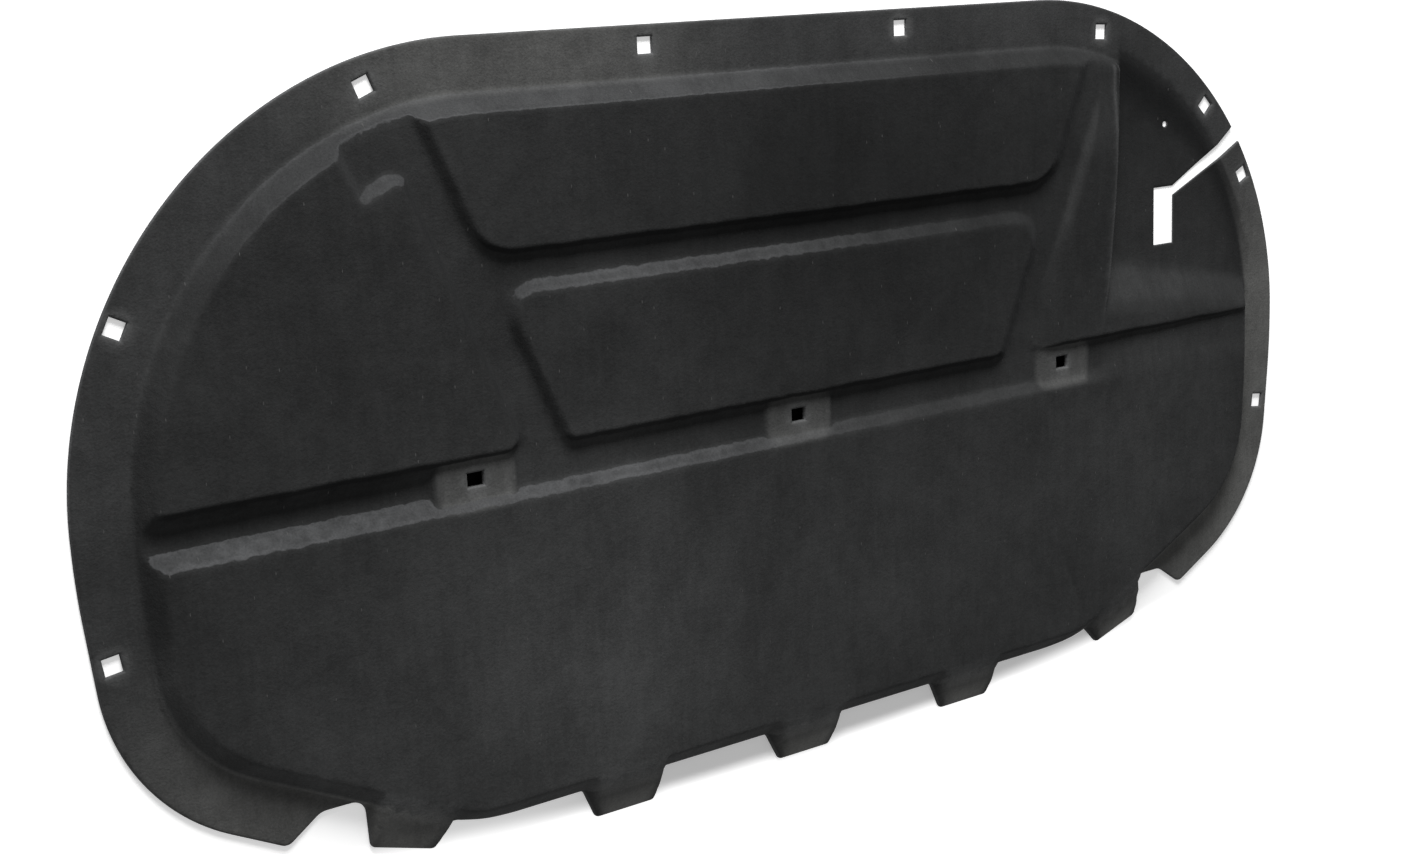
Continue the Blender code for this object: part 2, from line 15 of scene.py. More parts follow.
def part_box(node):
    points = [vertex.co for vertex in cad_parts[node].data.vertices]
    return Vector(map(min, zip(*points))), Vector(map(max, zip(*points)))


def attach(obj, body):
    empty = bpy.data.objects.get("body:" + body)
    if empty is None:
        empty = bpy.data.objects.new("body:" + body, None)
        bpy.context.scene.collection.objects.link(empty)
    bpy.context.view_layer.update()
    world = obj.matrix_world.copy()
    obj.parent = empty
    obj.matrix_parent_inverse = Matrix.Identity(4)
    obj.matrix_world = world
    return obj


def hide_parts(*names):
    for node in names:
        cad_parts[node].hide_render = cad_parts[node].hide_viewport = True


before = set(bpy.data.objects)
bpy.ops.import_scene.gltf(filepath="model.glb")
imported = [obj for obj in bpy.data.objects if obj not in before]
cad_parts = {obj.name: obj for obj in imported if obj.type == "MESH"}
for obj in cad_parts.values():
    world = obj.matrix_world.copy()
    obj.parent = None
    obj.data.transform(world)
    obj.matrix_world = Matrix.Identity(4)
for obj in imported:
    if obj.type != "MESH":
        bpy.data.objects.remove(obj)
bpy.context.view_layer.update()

PAD = "insulation_pad"
LOW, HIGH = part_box(PAD)

# Felt: at its full thickness, along the rim and where the pocket is pressed
FELT = 0.005
RIM_FELT = 0.003
PRESSED_FELT = 0.0015

# Heights above the face of the rim
FIELD_RISE = 0.015
CHANNEL_RISE = 0.0075
DEEP_CHANNEL_RISE = 0.004
SHALLOW_CHANNEL_RISE = 0.008
SHALLOW_CHANNEL_END_RISE = 0.012
SEAT_RISE = 0.0095

# Walls: how far one of full height runs in plan, and how much height its round edges take
WALL_RUN = 0.014
EDGE_SOFTNESS = 0.0022

# Sheet outline, right half
HALF_WIDTH = HIGH.x
WINDSCREEN_EDGE = 0.3955
WINDSCREEN_CORNER_RADIUS = 0.3085
SIDE_BEND_Y = 0.055
SIDE_BEND_RADIUS = 0.6
FRONT_CORNER_INSET = 0.013
FRONT_CORNER_Y = -0.101
FRONT_CORNER_RADIUS = 0.154
FLAP_TIP = (0.461, -0.162)
FLAP_TIP_RADIUS = 0.008
FLAP_NOTCH_Y = -0.143
FLAP_NOTCH_OUTER_X = 0.434
FLAP_NOTCH_OUTER_RADIUS = 0.014
FLAP_NOTCH_INNER_X = 0.3995
FLAP_NOTCH_INNER_RADIUS = 0.011
FRONT_EDGE = -0.1875
FRONT_BEND_X = 0.292
FRONT_BEND_RADIUS = 0.15

# Tabs along the front edge: outer root, outer tip, inner tip, inner root
OUTER_TAB_TIP_OUT = (0.398, -0.181)
OUTER_TAB_TIP_IN = (0.348, -0.197)
OUTER_TAB_ROOT_IN = (0.331, -0.178)
MIDDLE_TAB_CENTRE = 0.1795
MIDDLE_TAB_ROOT_WIDTH = 0.075
MIDDLE_TAB_TIP_WIDTH = 0.054
CENTRE_TAB_ROOT_WIDTH = 0.077
CENTRE_TAB_TIP_WIDTH = 0.052
TAB_TIP_Y = -0.213
TAB_CORNER_RADIUS = 0.005
TAB_RAMP = 0.042
TAB_CURVE = 1.6
TAB_SIDE_RUN = 0.008
TAB_REACH = 0.075

# Foot of the wall round the fields
RIM_WIDTH = 0.040
WALL_CORNER_INSET = 0.005
WALL_CORNER_Y = -0.0745
WALL_CORNER_RADIUS = 0.115
WALL_FRONT_X = 0.319
WALL_FRONT_RADIUS = 0.08

# Fields
DIAGONAL_LEAN = 0.42
DIAGONAL_INNER_X = 0.216
DIAGONAL_WIDTH = 0.044
CROSS_CHANNEL_TOP = 0.098
CROSS_CHANNEL_BOTTOM = 0.0575
UPPER_FIELD_BOTTOM = 0.243
UPPER_FIELD_RADIUS = 0.034
LOWER_FIELD_TOP = 0.2095
LOWER_FIELD_RADIUS = 0.016
FIELD_CORNER_RADIUS = 0.007
NOTCH_TIP = (0.341, 0.299)
NOTCH_CORNER = (0.371, 0.284)
NOTCH_TOP = (0.392, 0.330)
NOTCH_RADIUS = 0.007
WEDGE_FADE_Y = 0.268
WEDGE_FADE_LENGTH = 0.050
WEDGE_SOFT_Y = 0.205
WEDGE_SOFT_RUN = 0.034

# Clip seats in the cross channel
SEAT_SPACING = 0.296
SEAT_WIDTH = 0.066
SEAT_RADIUS = 0.008

# Pocket on the right: its crease is the crest of its left wall
CREASE = ((0.340, 0.098), (0.350, 0.140), (0.358, 0.210), (0.363, 0.280), (0.366, 0.335))
POCKET_WALL_RUN = 0.012
POCKET_RIM_RUN = 0.022
POCKET_RIM_OVERLAP = 0.0065
RAMP_FOOT = ((0.379, 0.160), (0.551, 0.125))
RAMP_TOP = ((0.350, 0.115), (0.530, 0.101))

# Slot and slit through the pocket and the rim
SLOT_LEFT = 0.4255
SLOT_WIDTH = 0.0245
SLOT_BOTTOM = 0.1685
SLOT_TOP = 0.221
SLIT_UPPER_BEND = (0.509, 0.253)
SLIT_UPPER_MOUTH = (0.531, 0.270)
SLIT_LOWER_BEND = (0.514, 0.2415)
SLIT_LOWER_MOUTH = (0.542, 0.2565)
SLIT_OVERRUN = 0.015
SLIT_LOWER_DROP = 0.0085

# Clip holes along the sides: distance from the side, place along Y, and turn on the left and right
CLIP_HOLE = 0.0125
SIDE_CLIPS = (
    (0.018, 0.000, 8, -8),
    (0.044, 0.223, -27, 27),
)

# Clip holes along the windscreen edge: place along X, distance from the edge, and both turns
WINDSCREEN_CLIPS = (
    (0.3555, 0.0305, 22, -3),
    (0.1245, 0.0155, 0, 0),
)

# The clip hole by the slit, the holes in the seats and the pin hole
SLIT_CLIP = (0.4915, 0.2915, 45.0)
SEAT_HOLE_Y = 0.0795
SEAT_HOLE = (0.0135, 0.0105)
PIN_HOLE = (0.4390, 0.2780)
PIN_HOLE_RADIUS = 0.0025
PIN_HOLE_SIDES = 12

# How finely the sheet is drawn
CHORD = 0.0045
CHORD_TURN = math.radians(10)
FORM_CHORD = 0.016
FIELD_STEP = 0.0078
MERGE = 0.0002
OVERRUN = 0.080
CUT_ROUND = 0.0016

# Lines drawn along the forms, by distance from a crest, a foot or an outline; on the ramp by their
# share of the way up it, and along cut edges in shares of their rounding
FOOT_LINES = np.arange(-0.004, WALL_RUN + 0.0061, 0.002)
CREST_LINES = np.arange(-0.003, WALL_RUN + 0.0001, 0.0017)
SEAT_LINES = (-0.002, 0.0, 0.002, 0.004)
CREASE_LINES = np.arange(-0.003, POCKET_WALL_RUN + 0.0031, 0.0015)
POCKET_RIM_LINES = np.arange(-0.003, POCKET_RIM_RUN + 0.0031, 0.004)
RAMP_LINES = np.linspace(-0.1, 1.1, 9)
FIELD_CREASE_LINES = (-0.0025, 0.0, 0.0025)
EDGE_LINES = (0.0, 0.35, 1.0, 2.2)

# Walls in detail: slopes where they face the windscreen, on the right where they face the side,
# and at their top and below it where they face the front
LIT_SLOPE = 0.74
GENTLE_SLOPE = 0.55
SHADE_TOP_SLOPE = 1.9
SHADE_SLOPE = 0.66
SHADE_TOP = 0.0028

# How far a wall faces each way before its slope starts to change, and when it has changed
LIT_FACING = (0.1, 0.7)
SHADE_FACING = (-0.42, -0.82)
SIDE_FACING = (0.5, 0.9)

# Waves of the crests: height, seed and length
CREST_WAVE = (0.0007, 11.0, 0.017)

# Where the front field's crest loses most of its height on the right
FRONT_CREST_END = (0.325, 0.375)
FRONT_CREST_LOSS = 0.7

# A faint crease that runs down the front field
FIELD_CREASE = (
    (0.266, -0.022), (0.277, -0.043), (0.283, -0.072), (0.293, -0.107), (0.312, -0.144), (0.318, -0.160)
)
FIELD_CREASE_DEPTH = 0.0007
FIELD_CREASE_WIDTH = 0.0022

# Where light falls from, across the sheet, and the least that a steep wall counts as facing up
LIT_WAY = (-0.12, 0.99)
LEAST_UPWARD = 0.3

# Softness of the felt over its whole face: height, seed and length of each kind of wave, how much
# of them is left on the rim, and how far they fade towards a cut edge
SOFT_WAVES = ((0.00045, 3.0, 0.050), (0.00022, 7.0, 0.016))
RIM_SOFTNESS = 0.3
SOFT_EDGE = 0.012
THINNEST_FACE = 0.0006
BACK_ROUND = 0.3
SHARP_EDGE = math.radians(52)

# Marks for the felt's colour. Two numbers in a row are where a mark starts and where it is full.
# Pressed felt: by height up the wall, and beside the pocket by the same slope carried on outwards
PRESSED_WALL = (0.0035, 0.0)
POCKET_EDGE = (-0.0066, -0.0006)

# The pocket: by depth below the fields, and only above a line across the sheet
POCKET_DEPTH = (0.002, 0.006)
POCKET_LOW_Y = 0.10

# Seats by distance from their outline, and tabs by distance from their tip and their sides
SEAT_MARK_RADIUS = 0.013
SEAT_MARK_INSET = 0.001
SEAT_MARK = (0.0035, -0.0035)
TAB_MARK = (0.034, 0.004)
TAB_MARK_SIDE = (0.0, 0.010)

# Paler stretches of the rim, a painted sheen on its right and wear on its left: place, reach and
# strength, and the shares of the reach between which they fade
WORN_AND_SHEEN_PATCHES = (
    (0.600, 0.060, 0.210, 0.88),
    (0.530, -0.100, 0.200, 0.88),
    (-0.230, 0.380, 0.190, 0.45),
    (-0.450, -0.170, 0.190, 0.54),
)
PATCH_FADE = (1.2, 0.2)
# Wear on the seats; on the tabs wear and a painted sheen that grows towards the right
WORN_SEATS = 0.26
TAB_WORN_AND_SHEEN = 0.95
TAB_SHEEN_RISE = 0.4

# Broad stretches of painted light and painted shade, paler or darker than the rest: place, reach and
# strength
LIGHT_AND_SHADE_PATCHES = (
    (-0.200, -0.090, 0.160, 1.15),
    (-0.430, -0.090, 0.110, 0.36),
    (0.100, -0.090, 0.140, 0.38),
    (0.390, -0.040, 0.150, 0.55),
    (0.060, 0.270, 0.180, -0.46),
    (0.290, 0.190, 0.110, -0.12),
)

# Painted light on the tabs and on the wall round the front half, and painted shade along a line beside
# the left diagonal
TAB_PAINTED_LIGHT = 0.22
FRONT_WALL_PAINTED_LIGHT = 0.9
FRONT_WALL_FOOT = (0.0, 0.002)
FRONT_WALL_TOP = (0.018, 0.012)
FRONT_WALL_Y = (0.03, -0.03)
LEFT_EDGE_PAINTED_SHADE = 0.45
LEFT_EDGE_OFFSET = 0.004
LEFT_EDGE_WIDTH = 0.004

# Painted highlights, pale bands along the walls that face the windscreen and the light: where they fade
# out on the right, where they have faded most on the front field's crest and on the others, and where
# they fade on the left
BAND_END = (0.345, 0.215)
FRONT_BAND_LOSS_X = (-0.15, 0.12)
BACK_BAND_LOSS_X = (-0.10, 0.24)
BAND_LOSS = 0.88
BACK_BANDS_Y = (0.11, 0.15)
BACK_BANDS_LOSS = 0.30
LEFT_BAND_X = (-0.30, -0.38)
LEFT_BAND_LOW_Y = (0.070, 0.082)
LEFT_BAND_HIGH_Y = (0.37, 0.22)

# Walls in shade: how much of it the wall round the fields loses, and the height up that wall's
# slope, in rises of the fields, from which none is lost
OUTER_SHADE_LOSS = 0.75
OUTER_SHADE_TOP = 1.4

# Rubbed felt round the clip holes, and a painted highlight along the pocket's crease
HOLE_RUB = (0.0175, 0.0075)
CREASE_HIGHLIGHT = 0.8
CREASE_HIGHLIGHT_Y = (0.08, 0.16)
CREASE_HIGHLIGHT_OFFSET = 0.001
CREASE_HIGHLIGHT_WIDTH = 0.0024

# A painted highlight along the wedge's left wall: how far left of its crest, and how wide, at the top
# and how much more at the bottom
WEDGE_HIGHLIGHT = 0.34
WEDGE_HIGHLIGHT_OFFSET = (0.004, 0.010)
WEDGE_HIGHLIGHT_WIDTH = (0.0042, 0.004)
WEDGE_HIGHLIGHT_LOW_Y = (0.10, 0.22)
WEDGE_HIGHLIGHT_HIGH_Y = (0.312, 0.300)

# Painted shade in the pocket: along its rim, how far in from it at the bottom and how much further at
# the top, and a weaker painted shade over the top of its floor
RIM_DARK_REACH = (0.028, 0.042)
RIM_DARK_REACH_Y = (0.22, 0.30)
RIM_DARK_OVERLAP = 0.004
RIM_DARK_Y = (0.09, 0.23)
FLOOR_DARK = 0.35
FLOOR_DARK_Y = (0.20, 0.28)

# Pressed felt on the pocket's ramp
RAMP_MARK = 0.8
RAMP_MARK_RISE = 0.004
RAMP_MARK_OFFSET = 0.004
RAMP_MARK_X = (0.545, 0.415)

WALL_SLOPE = FIELD_RISE / WALL_RUN
SHIFT_Y = HIGH.y - WINDSCREEN_EDGE


def soft_min(a, b, softness=EDGE_SOFTNESS):
    """The lower of two heights, rounded where they meet."""
    mix = np.clip(0.5 + 0.5 * (b - a) / softness, 0.0, 1.0)
    return b * (1 - mix) + a * mix - softness * mix * (1 - mix)


def soft_max(a, b, softness=EDGE_SOFTNESS):
    """The higher of two heights, rounded where they meet."""
    return -soft_min(-a, -b, softness)


def smooth(share):
    """A share from 0 to 1, eased at both ends."""
    share = np.clip(share, 0.0, 1.0)
    return share * share * (3 - 2 * share)


def eased(value, start, end):
    """How far a value has come from start to end, from 0 to 1 and eased at both ends."""
    return smooth((value - start) / (end - start))


def divided(start, end, longest):
    """Points from start up to, but not including, end."""
    start, end = np.array(start), np.array(end)
    count = max(1, math.ceil(np.linalg.norm(end - start) / longest - 1e-6))
    return [start + (end - start) * i / count for i in range(count)]


def fillet(before, corner, after, radius, chord):
    """Points of the arc that rounds a corner."""
    before, corner, after = np.array(before), np.array(corner), np.array(after)
    way_in = (corner - before) / np.linalg.norm(corner - before)
    way_out = (after - corner) / np.linalg.norm(after - corner)
    turn = math.atan2(way_in[0] * way_out[1] - way_in[1] * way_out[0], way_in @ way_out)
    if radius <= 0 or abs(turn) < 1e-6:
        return [corner]
    reach = radius * math.tan(abs(turn) / 2)
    first = corner - way_in * reach
    side = math.copysign(1.0, turn)
    centre = first + side * radius * np.array((-way_in[1], way_in[0]))
    steps = max(1, math.ceil(abs(turn) / CHORD_TURN), math.ceil(abs(turn) * radius / chord))
    arm = first - centre
    points = []
    for i in range(steps + 1):
        c, s = math.cos(turn * i / steps), math.sin(turn * i / steps)
        points.append(centre + (c * arm[0] - s * arm[1], s * arm[0] + c * arm[1]))
    return points


def rounded(corners, chord=CHORD):
    """A closed outline through corners given as x, y and radius."""
    arcs = []
    for i, (x, y, radius) in enumerate(corners):
        before, after = corners[i - 1][:2], corners[(i + 1) % len(corners)][:2]
        arcs.append(fillet(before, (x, y), after, radius, chord))
    points = []
    for i, arc in enumerate(arcs):
        points += arc[:-1]
        points += divided(arc[-1], arcs[(i + 1) % len(arcs)][0], chord)
    return np.array(points)


def grown(corners, distance):
    """The corners of an outline moved out by a distance, or in where it is negative."""
    xy = np.array([corner[:2] for corner in corners])
    following = np.roll(xy, -1, axis=0)
    turning = np.sign(np.sum(xy[:, 0] * following[:, 1] - following[:, 0] * xy[:, 1]))
    result = []
    for i, (x, y, radius) in enumerate(corners):
        way_in = xy[i] - xy[i - 1]
        way_out = following[i] - xy[i]
        way_in, way_out = way_in / np.linalg.norm(way_in), way_out / np.linalg.norm(way_out)
        out_a = turning * np.array((way_in[1], -way_in[0]))
        out_b = turning * np.array((way_out[1], -way_out[0]))
        moved = xy[i] + distance * (out_a + out_b) / (1 + out_a @ out_b)
        bend = turning * (way_in[0] * way_out[1] - way_in[1] * way_out[0])
        result.append((*moved, max(0.0, radius + distance * math.copysign(1.0, bend))))
    return result


def both_sides(corners):
    """The right half's corners, followed by their mirror images."""
    return list(corners) + [(-x, y, radius) for x, y, radius in reversed(corners)]


def outside_and_facing(points, loop, batch=6000):
    """Distance of each point outside a closed outline, negative inside it, and the way
    the outline faces where it is nearest."""
    start, end = loop, np.roll(loop, -1, axis=0)
    edge = end - start
    length = np.sum(edge * edge, axis=1)
    rise = np.where(edge[:, 1] == 0, 1.0, edge[:, 1])
    result, facing = np.empty(len(points)), np.empty((len(points), 2))
    for first in range(0, len(points), batch):
        some = points[first:first + batch]
        away = some[:, None, :] - start[None]
        share = np.clip(np.einsum("ijk,jk->ij", away, edge) / length, 0, 1)
        near = away - share[..., None] * edge
        square = np.einsum("ijk,ijk->ij", near, near)
        nearest = np.argmin(square, axis=1)
        rows = np.arange(len(some))
        distance = np.sqrt(square[rows, nearest])
        level = (start[:, 1] > some[:, None, 1]) != (end[:, 1] > some[:, None, 1])
        crossing = start[:, 0] + (some[:, None, 1] - start[:, 1]) * edge[:, 0] / rise
        inside = np.sum(level & (some[:, None, 0] < crossing), axis=1) % 2 == 1
        result[first:first + batch] = np.where(inside, -distance, distance)
        way = near[rows, nearest] / np.maximum(distance, 1e-9)[:, None]
        facing[first:first + batch] = np.where(inside[:, None], -way, way)
    return result, facing


def outside(points, loop):
    """Distance of each point outside a closed outline, negative inside it."""
    return outside_and_facing(points, loop)[0]


def from_line(points, line):
    """Distance of each point from an open line."""
    result = np.full(len(points), np.inf)
    for start, end in zip(np.array(line), np.array(line)[1:]):
        edge = end - start
        away = points - start
        share = np.clip(away @ edge / (edge @ edge), 0, 1)
        result = np.minimum(result, np.linalg.norm(away - share[:, None] * edge, axis=1))
    return result


def unevenness(flat, seed, scale):
    """Smooth noise over the sheet, from about -1 to 1."""
    return np.array([noise.noise(Vector((x / scale, y / scale, seed))) for x, y in flat])


def straight_tab(centre, root_width, tip_width):
    """A tab that points straight ahead: outer root, outer tip, inner tip and inner root."""
    root, tip = root_width / 2, tip_width / 2
    edge = ((root, FRONT_EDGE), (tip, TAB_TIP_Y), (-tip, TAB_TIP_Y), (-root, FRONT_EDGE))
    return [(centre + x, y) for x, y in edge]


def right_tabs():
    """The outer, the middle and the centre tab, with the sheet on the right of every step."""
    return [
        [(FLAP_NOTCH_INNER_X, FLAP_NOTCH_Y), OUTER_TAB_TIP_OUT, OUTER_TAB_TIP_IN, OUTER_TAB_ROOT_IN],
        straight_tab(MIDDLE_TAB_CENTRE, MIDDLE_TAB_ROOT_WIDTH, MIDDLE_TAB_TIP_WIDTH),
        straight_tab(0, CENTRE_TAB_ROOT_WIDTH, CENTRE_TAB_TIP_WIDTH),
    ]


def tab_edges():
    """Every tab: the right ones, the centre one and the right ones mirrored."""
    tabs = right_tabs()
    return tabs + [[(-x, y) for x, y in reversed(tab)] for tab in tabs[:2]]


def sheet_corners():
    """The right half of the sheet's edge, from the windscreen corner to the centre tab."""
    outer, middle, centre = right_tabs()
    return [
        (HALF_WIDTH, WINDSCREEN_EDGE, WINDSCREEN_CORNER_RADIUS),
        (HALF_WIDTH, SIDE_BEND_Y, SIDE_BEND_RADIUS),
        (HALF_WIDTH - FRONT_CORNER_INSET, FRONT_CORNER_Y, FRONT_CORNER_RADIUS),
        (*FLAP_TIP, FLAP_TIP_RADIUS),
        (FLAP_NOTCH_OUTER_X, FLAP_NOTCH_Y, FLAP_NOTCH_OUTER_RADIUS),
        (*outer[0], FLAP_NOTCH_INNER_RADIUS),
        *((x, y, TAB_CORNER_RADIUS) for x, y in outer[1:]),
        (FRONT_BEND_X, FRONT_EDGE, FRONT_BEND_RADIUS),
        *((x, y, TAB_CORNER_RADIUS) for x, y in middle + centre[:2]),
    ]


def wall_corners():
    """The right half of the foot of the wall round the fields."""
    foot_x = HALF_WIDTH - RIM_WIDTH
    return [
        (foot_x, WINDSCREEN_EDGE - RIM_WIDTH, WINDSCREEN_CORNER_RADIUS - RIM_WIDTH),
        (foot_x, SIDE_BEND_Y, SIDE_BEND_RADIUS),
        (foot_x - WALL_CORNER_INSET, WALL_CORNER_Y, WALL_CORNER_RADIUS),
        (WALL_FRONT_X, FRONT_EDGE, WALL_FRONT_RADIUS),
    ]


def diagonal(y):
    """How far out the inner edge of a diagonal channel is at a height on the sheet."""
    return DIAGONAL_INNER_X + DIAGONAL_LEAN * (y - CROSS_CHANNEL_TOP)


def field_corners():
    """The crest of each field by name; they run on under the wall round them."""
    far_x, far_y = HALF_WIDTH + OVERRUN, WINDSCREEN_EDGE + OVERRUN
    near_y = TAB_TIP_Y - OVERRUN
    outer = diagonal(CROSS_CHANNEL_TOP) + DIAGONAL_WIDTH
    upper = [
        (diagonal(far_y), far_y, 0),
        (diagonal(UPPER_FIELD_BOTTOM), UPPER_FIELD_BOTTOM, UPPER_FIELD_RADIUS),
    ]
    lower = [
        (diagonal(LOWER_FIELD_TOP), LOWER_FIELD_TOP, LOWER_FIELD_RADIUS),
        (diagonal(CROSS_CHANNEL_TOP), CROSS_CHANNEL_TOP, FIELD_CORNER_RADIUS),
    ]
    left = [
        (-outer, CROSS_CHANNEL_TOP, FIELD_CORNER_RADIUS),
        (-NOTCH_TIP[0], NOTCH_TIP[1], NOTCH_RADIUS),
        (-NOTCH_CORNER[0], NOTCH_CORNER[1], NOTCH_RADIUS),
        (-NOTCH_TOP[0], NOTCH_TOP[1], 0),
        (-NOTCH_TOP[0], far_y, 0),
        (-far_x, far_y, 0),
        (-far_x, CROSS_CHANNEL_TOP, 0),
    ]
    right = [
        (outer, CROSS_CHANNEL_TOP, FIELD_CORNER_RADIUS),
        (diagonal(far_y) + DIAGONAL_WIDTH, far_y, 0),
        (far_x, far_y, 0),
        (far_x, CROSS_CHANNEL_TOP, 0),
    ]
    front = [(far_x, CROSS_CHANNEL_BOTTOM, 0), (far_x, near_y, 0)]
    return {
        "upper": both_sides(upper),
        "lower": both_sides(lower),
        "left": left,
        "right": right,
        "front": both_sides(front),
    }


def box_corners(low_x, low_y, high_x, high_y, radius=0.0):
    corners = ((low_x, low_y), (high_x, low_y), (high_x, high_y), (low_x, high_y))
    return [(x, y, radius) for x, y in corners]


def seat_corners():
    """The clip seats across the cross channel, from left to right."""
    half = SEAT_WIDTH / 2
    return [
        box_corners(x - half, CROSS_CHANNEL_BOTTOM, x + half, CROSS_CHANNEL_TOP, SEAT_RADIUS)
        for x in (-SEAT_SPACING, 0.0, SEAT_SPACING)
    ]


def inward(points, start, end):
    """How far each point is to the right of the line from start to end."""
    way = np.array(end) - np.array(start)
    way = way / np.linalg.norm(way)
    away = points - np.array(start)
    return away[:, 0] * way[1] - away[:, 1] * way[0]


def tab_rise(points, tab):
    """A tab curves from the field down to the rim at its tip, with short walls at its sides."""
    root_out, tip_out, tip_in, root_in = tab
    in_from_tip = inward(points, tip_out, tip_in)
    left_to_root = np.clip(1 - in_from_tip / TAB_RAMP, 0, None)
    rise = FIELD_RISE * (1 - left_to_root ** TAB_CURVE)
    rise = np.minimum(rise, (TAB_REACH - in_from_tip) * WALL_SLOPE)
    for start, end in ((root_out, tip_out), (tip_in, root_in)):
        rise = soft_min(rise, inward(points, start, end) * FIELD_RISE / TAB_SIDE_RUN)
    return rise


def line_y(points, ends):
    """Y of a straight line, at each point's X."""
    (x0, y0), (x1, y1) = ends
    return y0 + (points[:, 0] - x0) * (y1 - y0) / (x1 - x0)


def crease_x(points):
    """X of the pocket's crease, at each point's Y."""
    crease = np.array(CREASE)
    return np.interp(points[:, 1], crease[:, 1], crease[:, 0])


def windscreen_corner():
    """Centre of the arc that rounds the sheet's windscreen corner on the right."""
    return np.array((HALF_WIDTH - WINDSCREEN_CORNER_RADIUS, WINDSCREEN_EDGE - WINDSCREEN_CORNER_RADIUS))


def pocket_rim_radius():
    return WINDSCREEN_CORNER_RADIUS - RIM_WIDTH + POCKET_RIM_OVERLAP


def past_pocket_rim(points):
    """How far each point is outside the pocket's rim."""
    x, y = (points - windscreen_corner()).T
    return np.hypot(x, np.maximum(y, 0)) - pocket_rim_radius()


def pocket_rise(points):
    """The pocket's floor, its steep left wall, its soft wall at the rim and its ramp."""
    x, y = points.T
    floor = PRESSED_FELT - RIM_FELT
    depth = FIELD_RISE - floor
    left = FIELD_RISE - depth * (x - crease_x(points)) / POCKET_WALL_RUN
    rim = past_pocket_rim(points) * -floor / POCKET_RIM_RUN
    foot, top = line_y(points, RAMP_FOOT), line_y(points, RAMP_TOP)
    ramp = floor + depth * (foot - y) / (foot - top)
    walls = soft_max(soft_max(left, rim), ramp)
    return soft_max(np.full(len(points), floor), walls, EDGE_SOFTNESS / 2)


def wedge_softness(y):
    """How far the foot of the wedge's left wall has spread, from 0 to 1, towards its front."""
    return np.clip((WEDGE_SOFT_Y - y) / (WEDGE_SOFT_Y - CROSS_CHANNEL_TOP), 0, 1)


def clip_holes():
    """Every clip hole as centre, size and turn."""
    pairs = [(HALF_WIDTH - inset, y, left, right) for inset, y, left, right in SIDE_CLIPS]
    pairs += [(x, WINDSCREEN_EDGE - inset, left, right) for x, inset, left, right in WINDSCREEN_CLIPS]
    holes = []
    for x, y, left, right in pairs:
        holes.append((-x, y, (CLIP_HOLE, CLIP_HOLE), left))
        holes.append((x, y, (CLIP_HOLE, CLIP_HOLE), right))
    holes.append((SLIT_CLIP[0], SLIT_CLIP[1], (CLIP_HOLE, CLIP_HOLE), SLIT_CLIP[2]))
    for x in (-SEAT_SPACING, 0.0, SEAT_SPACING):
        holes.append((x, SEAT_HOLE_Y, SEAT_HOLE, 0.0))
    return holes


def hole_corners():
    """The corners of every outline cut through the sheet."""
    outlines = []
    for x, y, (width, height), turn in clip_holes():
        c, s = math.cos(math.radians(turn)), math.sin(math.radians(turn))
        corners = box_corners(-width / 2, -height / 2, width / 2, height / 2)
        outlines.append([(x + c * u - s * v, y + s * u + c * v, 0.0) for u, v, _ in corners])
    turns = np.arange(PIN_HOLE_SIDES) * math.tau / PIN_HOLE_SIDES
    pin = np.array(PIN_HOLE) + PIN_HOLE_RADIUS * np.stack([np.cos(turns), np.sin(turns)], axis=1)
    outlines.append([(x, y, 0.0) for x, y in pin])
    upper_way = np.array(SLIT_UPPER_MOUTH) - np.array(SLIT_UPPER_BEND)
    lower_way = np.array(SLIT_LOWER_MOUTH) - np.array(SLIT_LOWER_BEND)
    slot_right = SLOT_LEFT + SLOT_WIDTH
    slit = [
        (SLOT_LEFT, SLOT_BOTTOM),
        (slot_right, SLOT_BOTTOM),
        (slot_right, SLOT_TOP - SLIT_LOWER_DROP),
        SLIT_LOWER_BEND,
        SLIT_LOWER_MOUTH,
        np.array(SLIT_LOWER_MOUTH) + lower_way / np.linalg.norm(lower_way) * SLIT_OVERRUN,
        np.array(SLIT_UPPER_MOUTH) + upper_way / np.linalg.norm(upper_way) * SLIT_OVERRUN,
        SLIT_UPPER_MOUTH,
        SLIT_UPPER_BEND,
        (slot_right, SLOT_TOP),
        (SLOT_LEFT, SLOT_TOP),
    ]
    outlines.append([(x, y, 0.0) for x, y in slit])
    return outlines


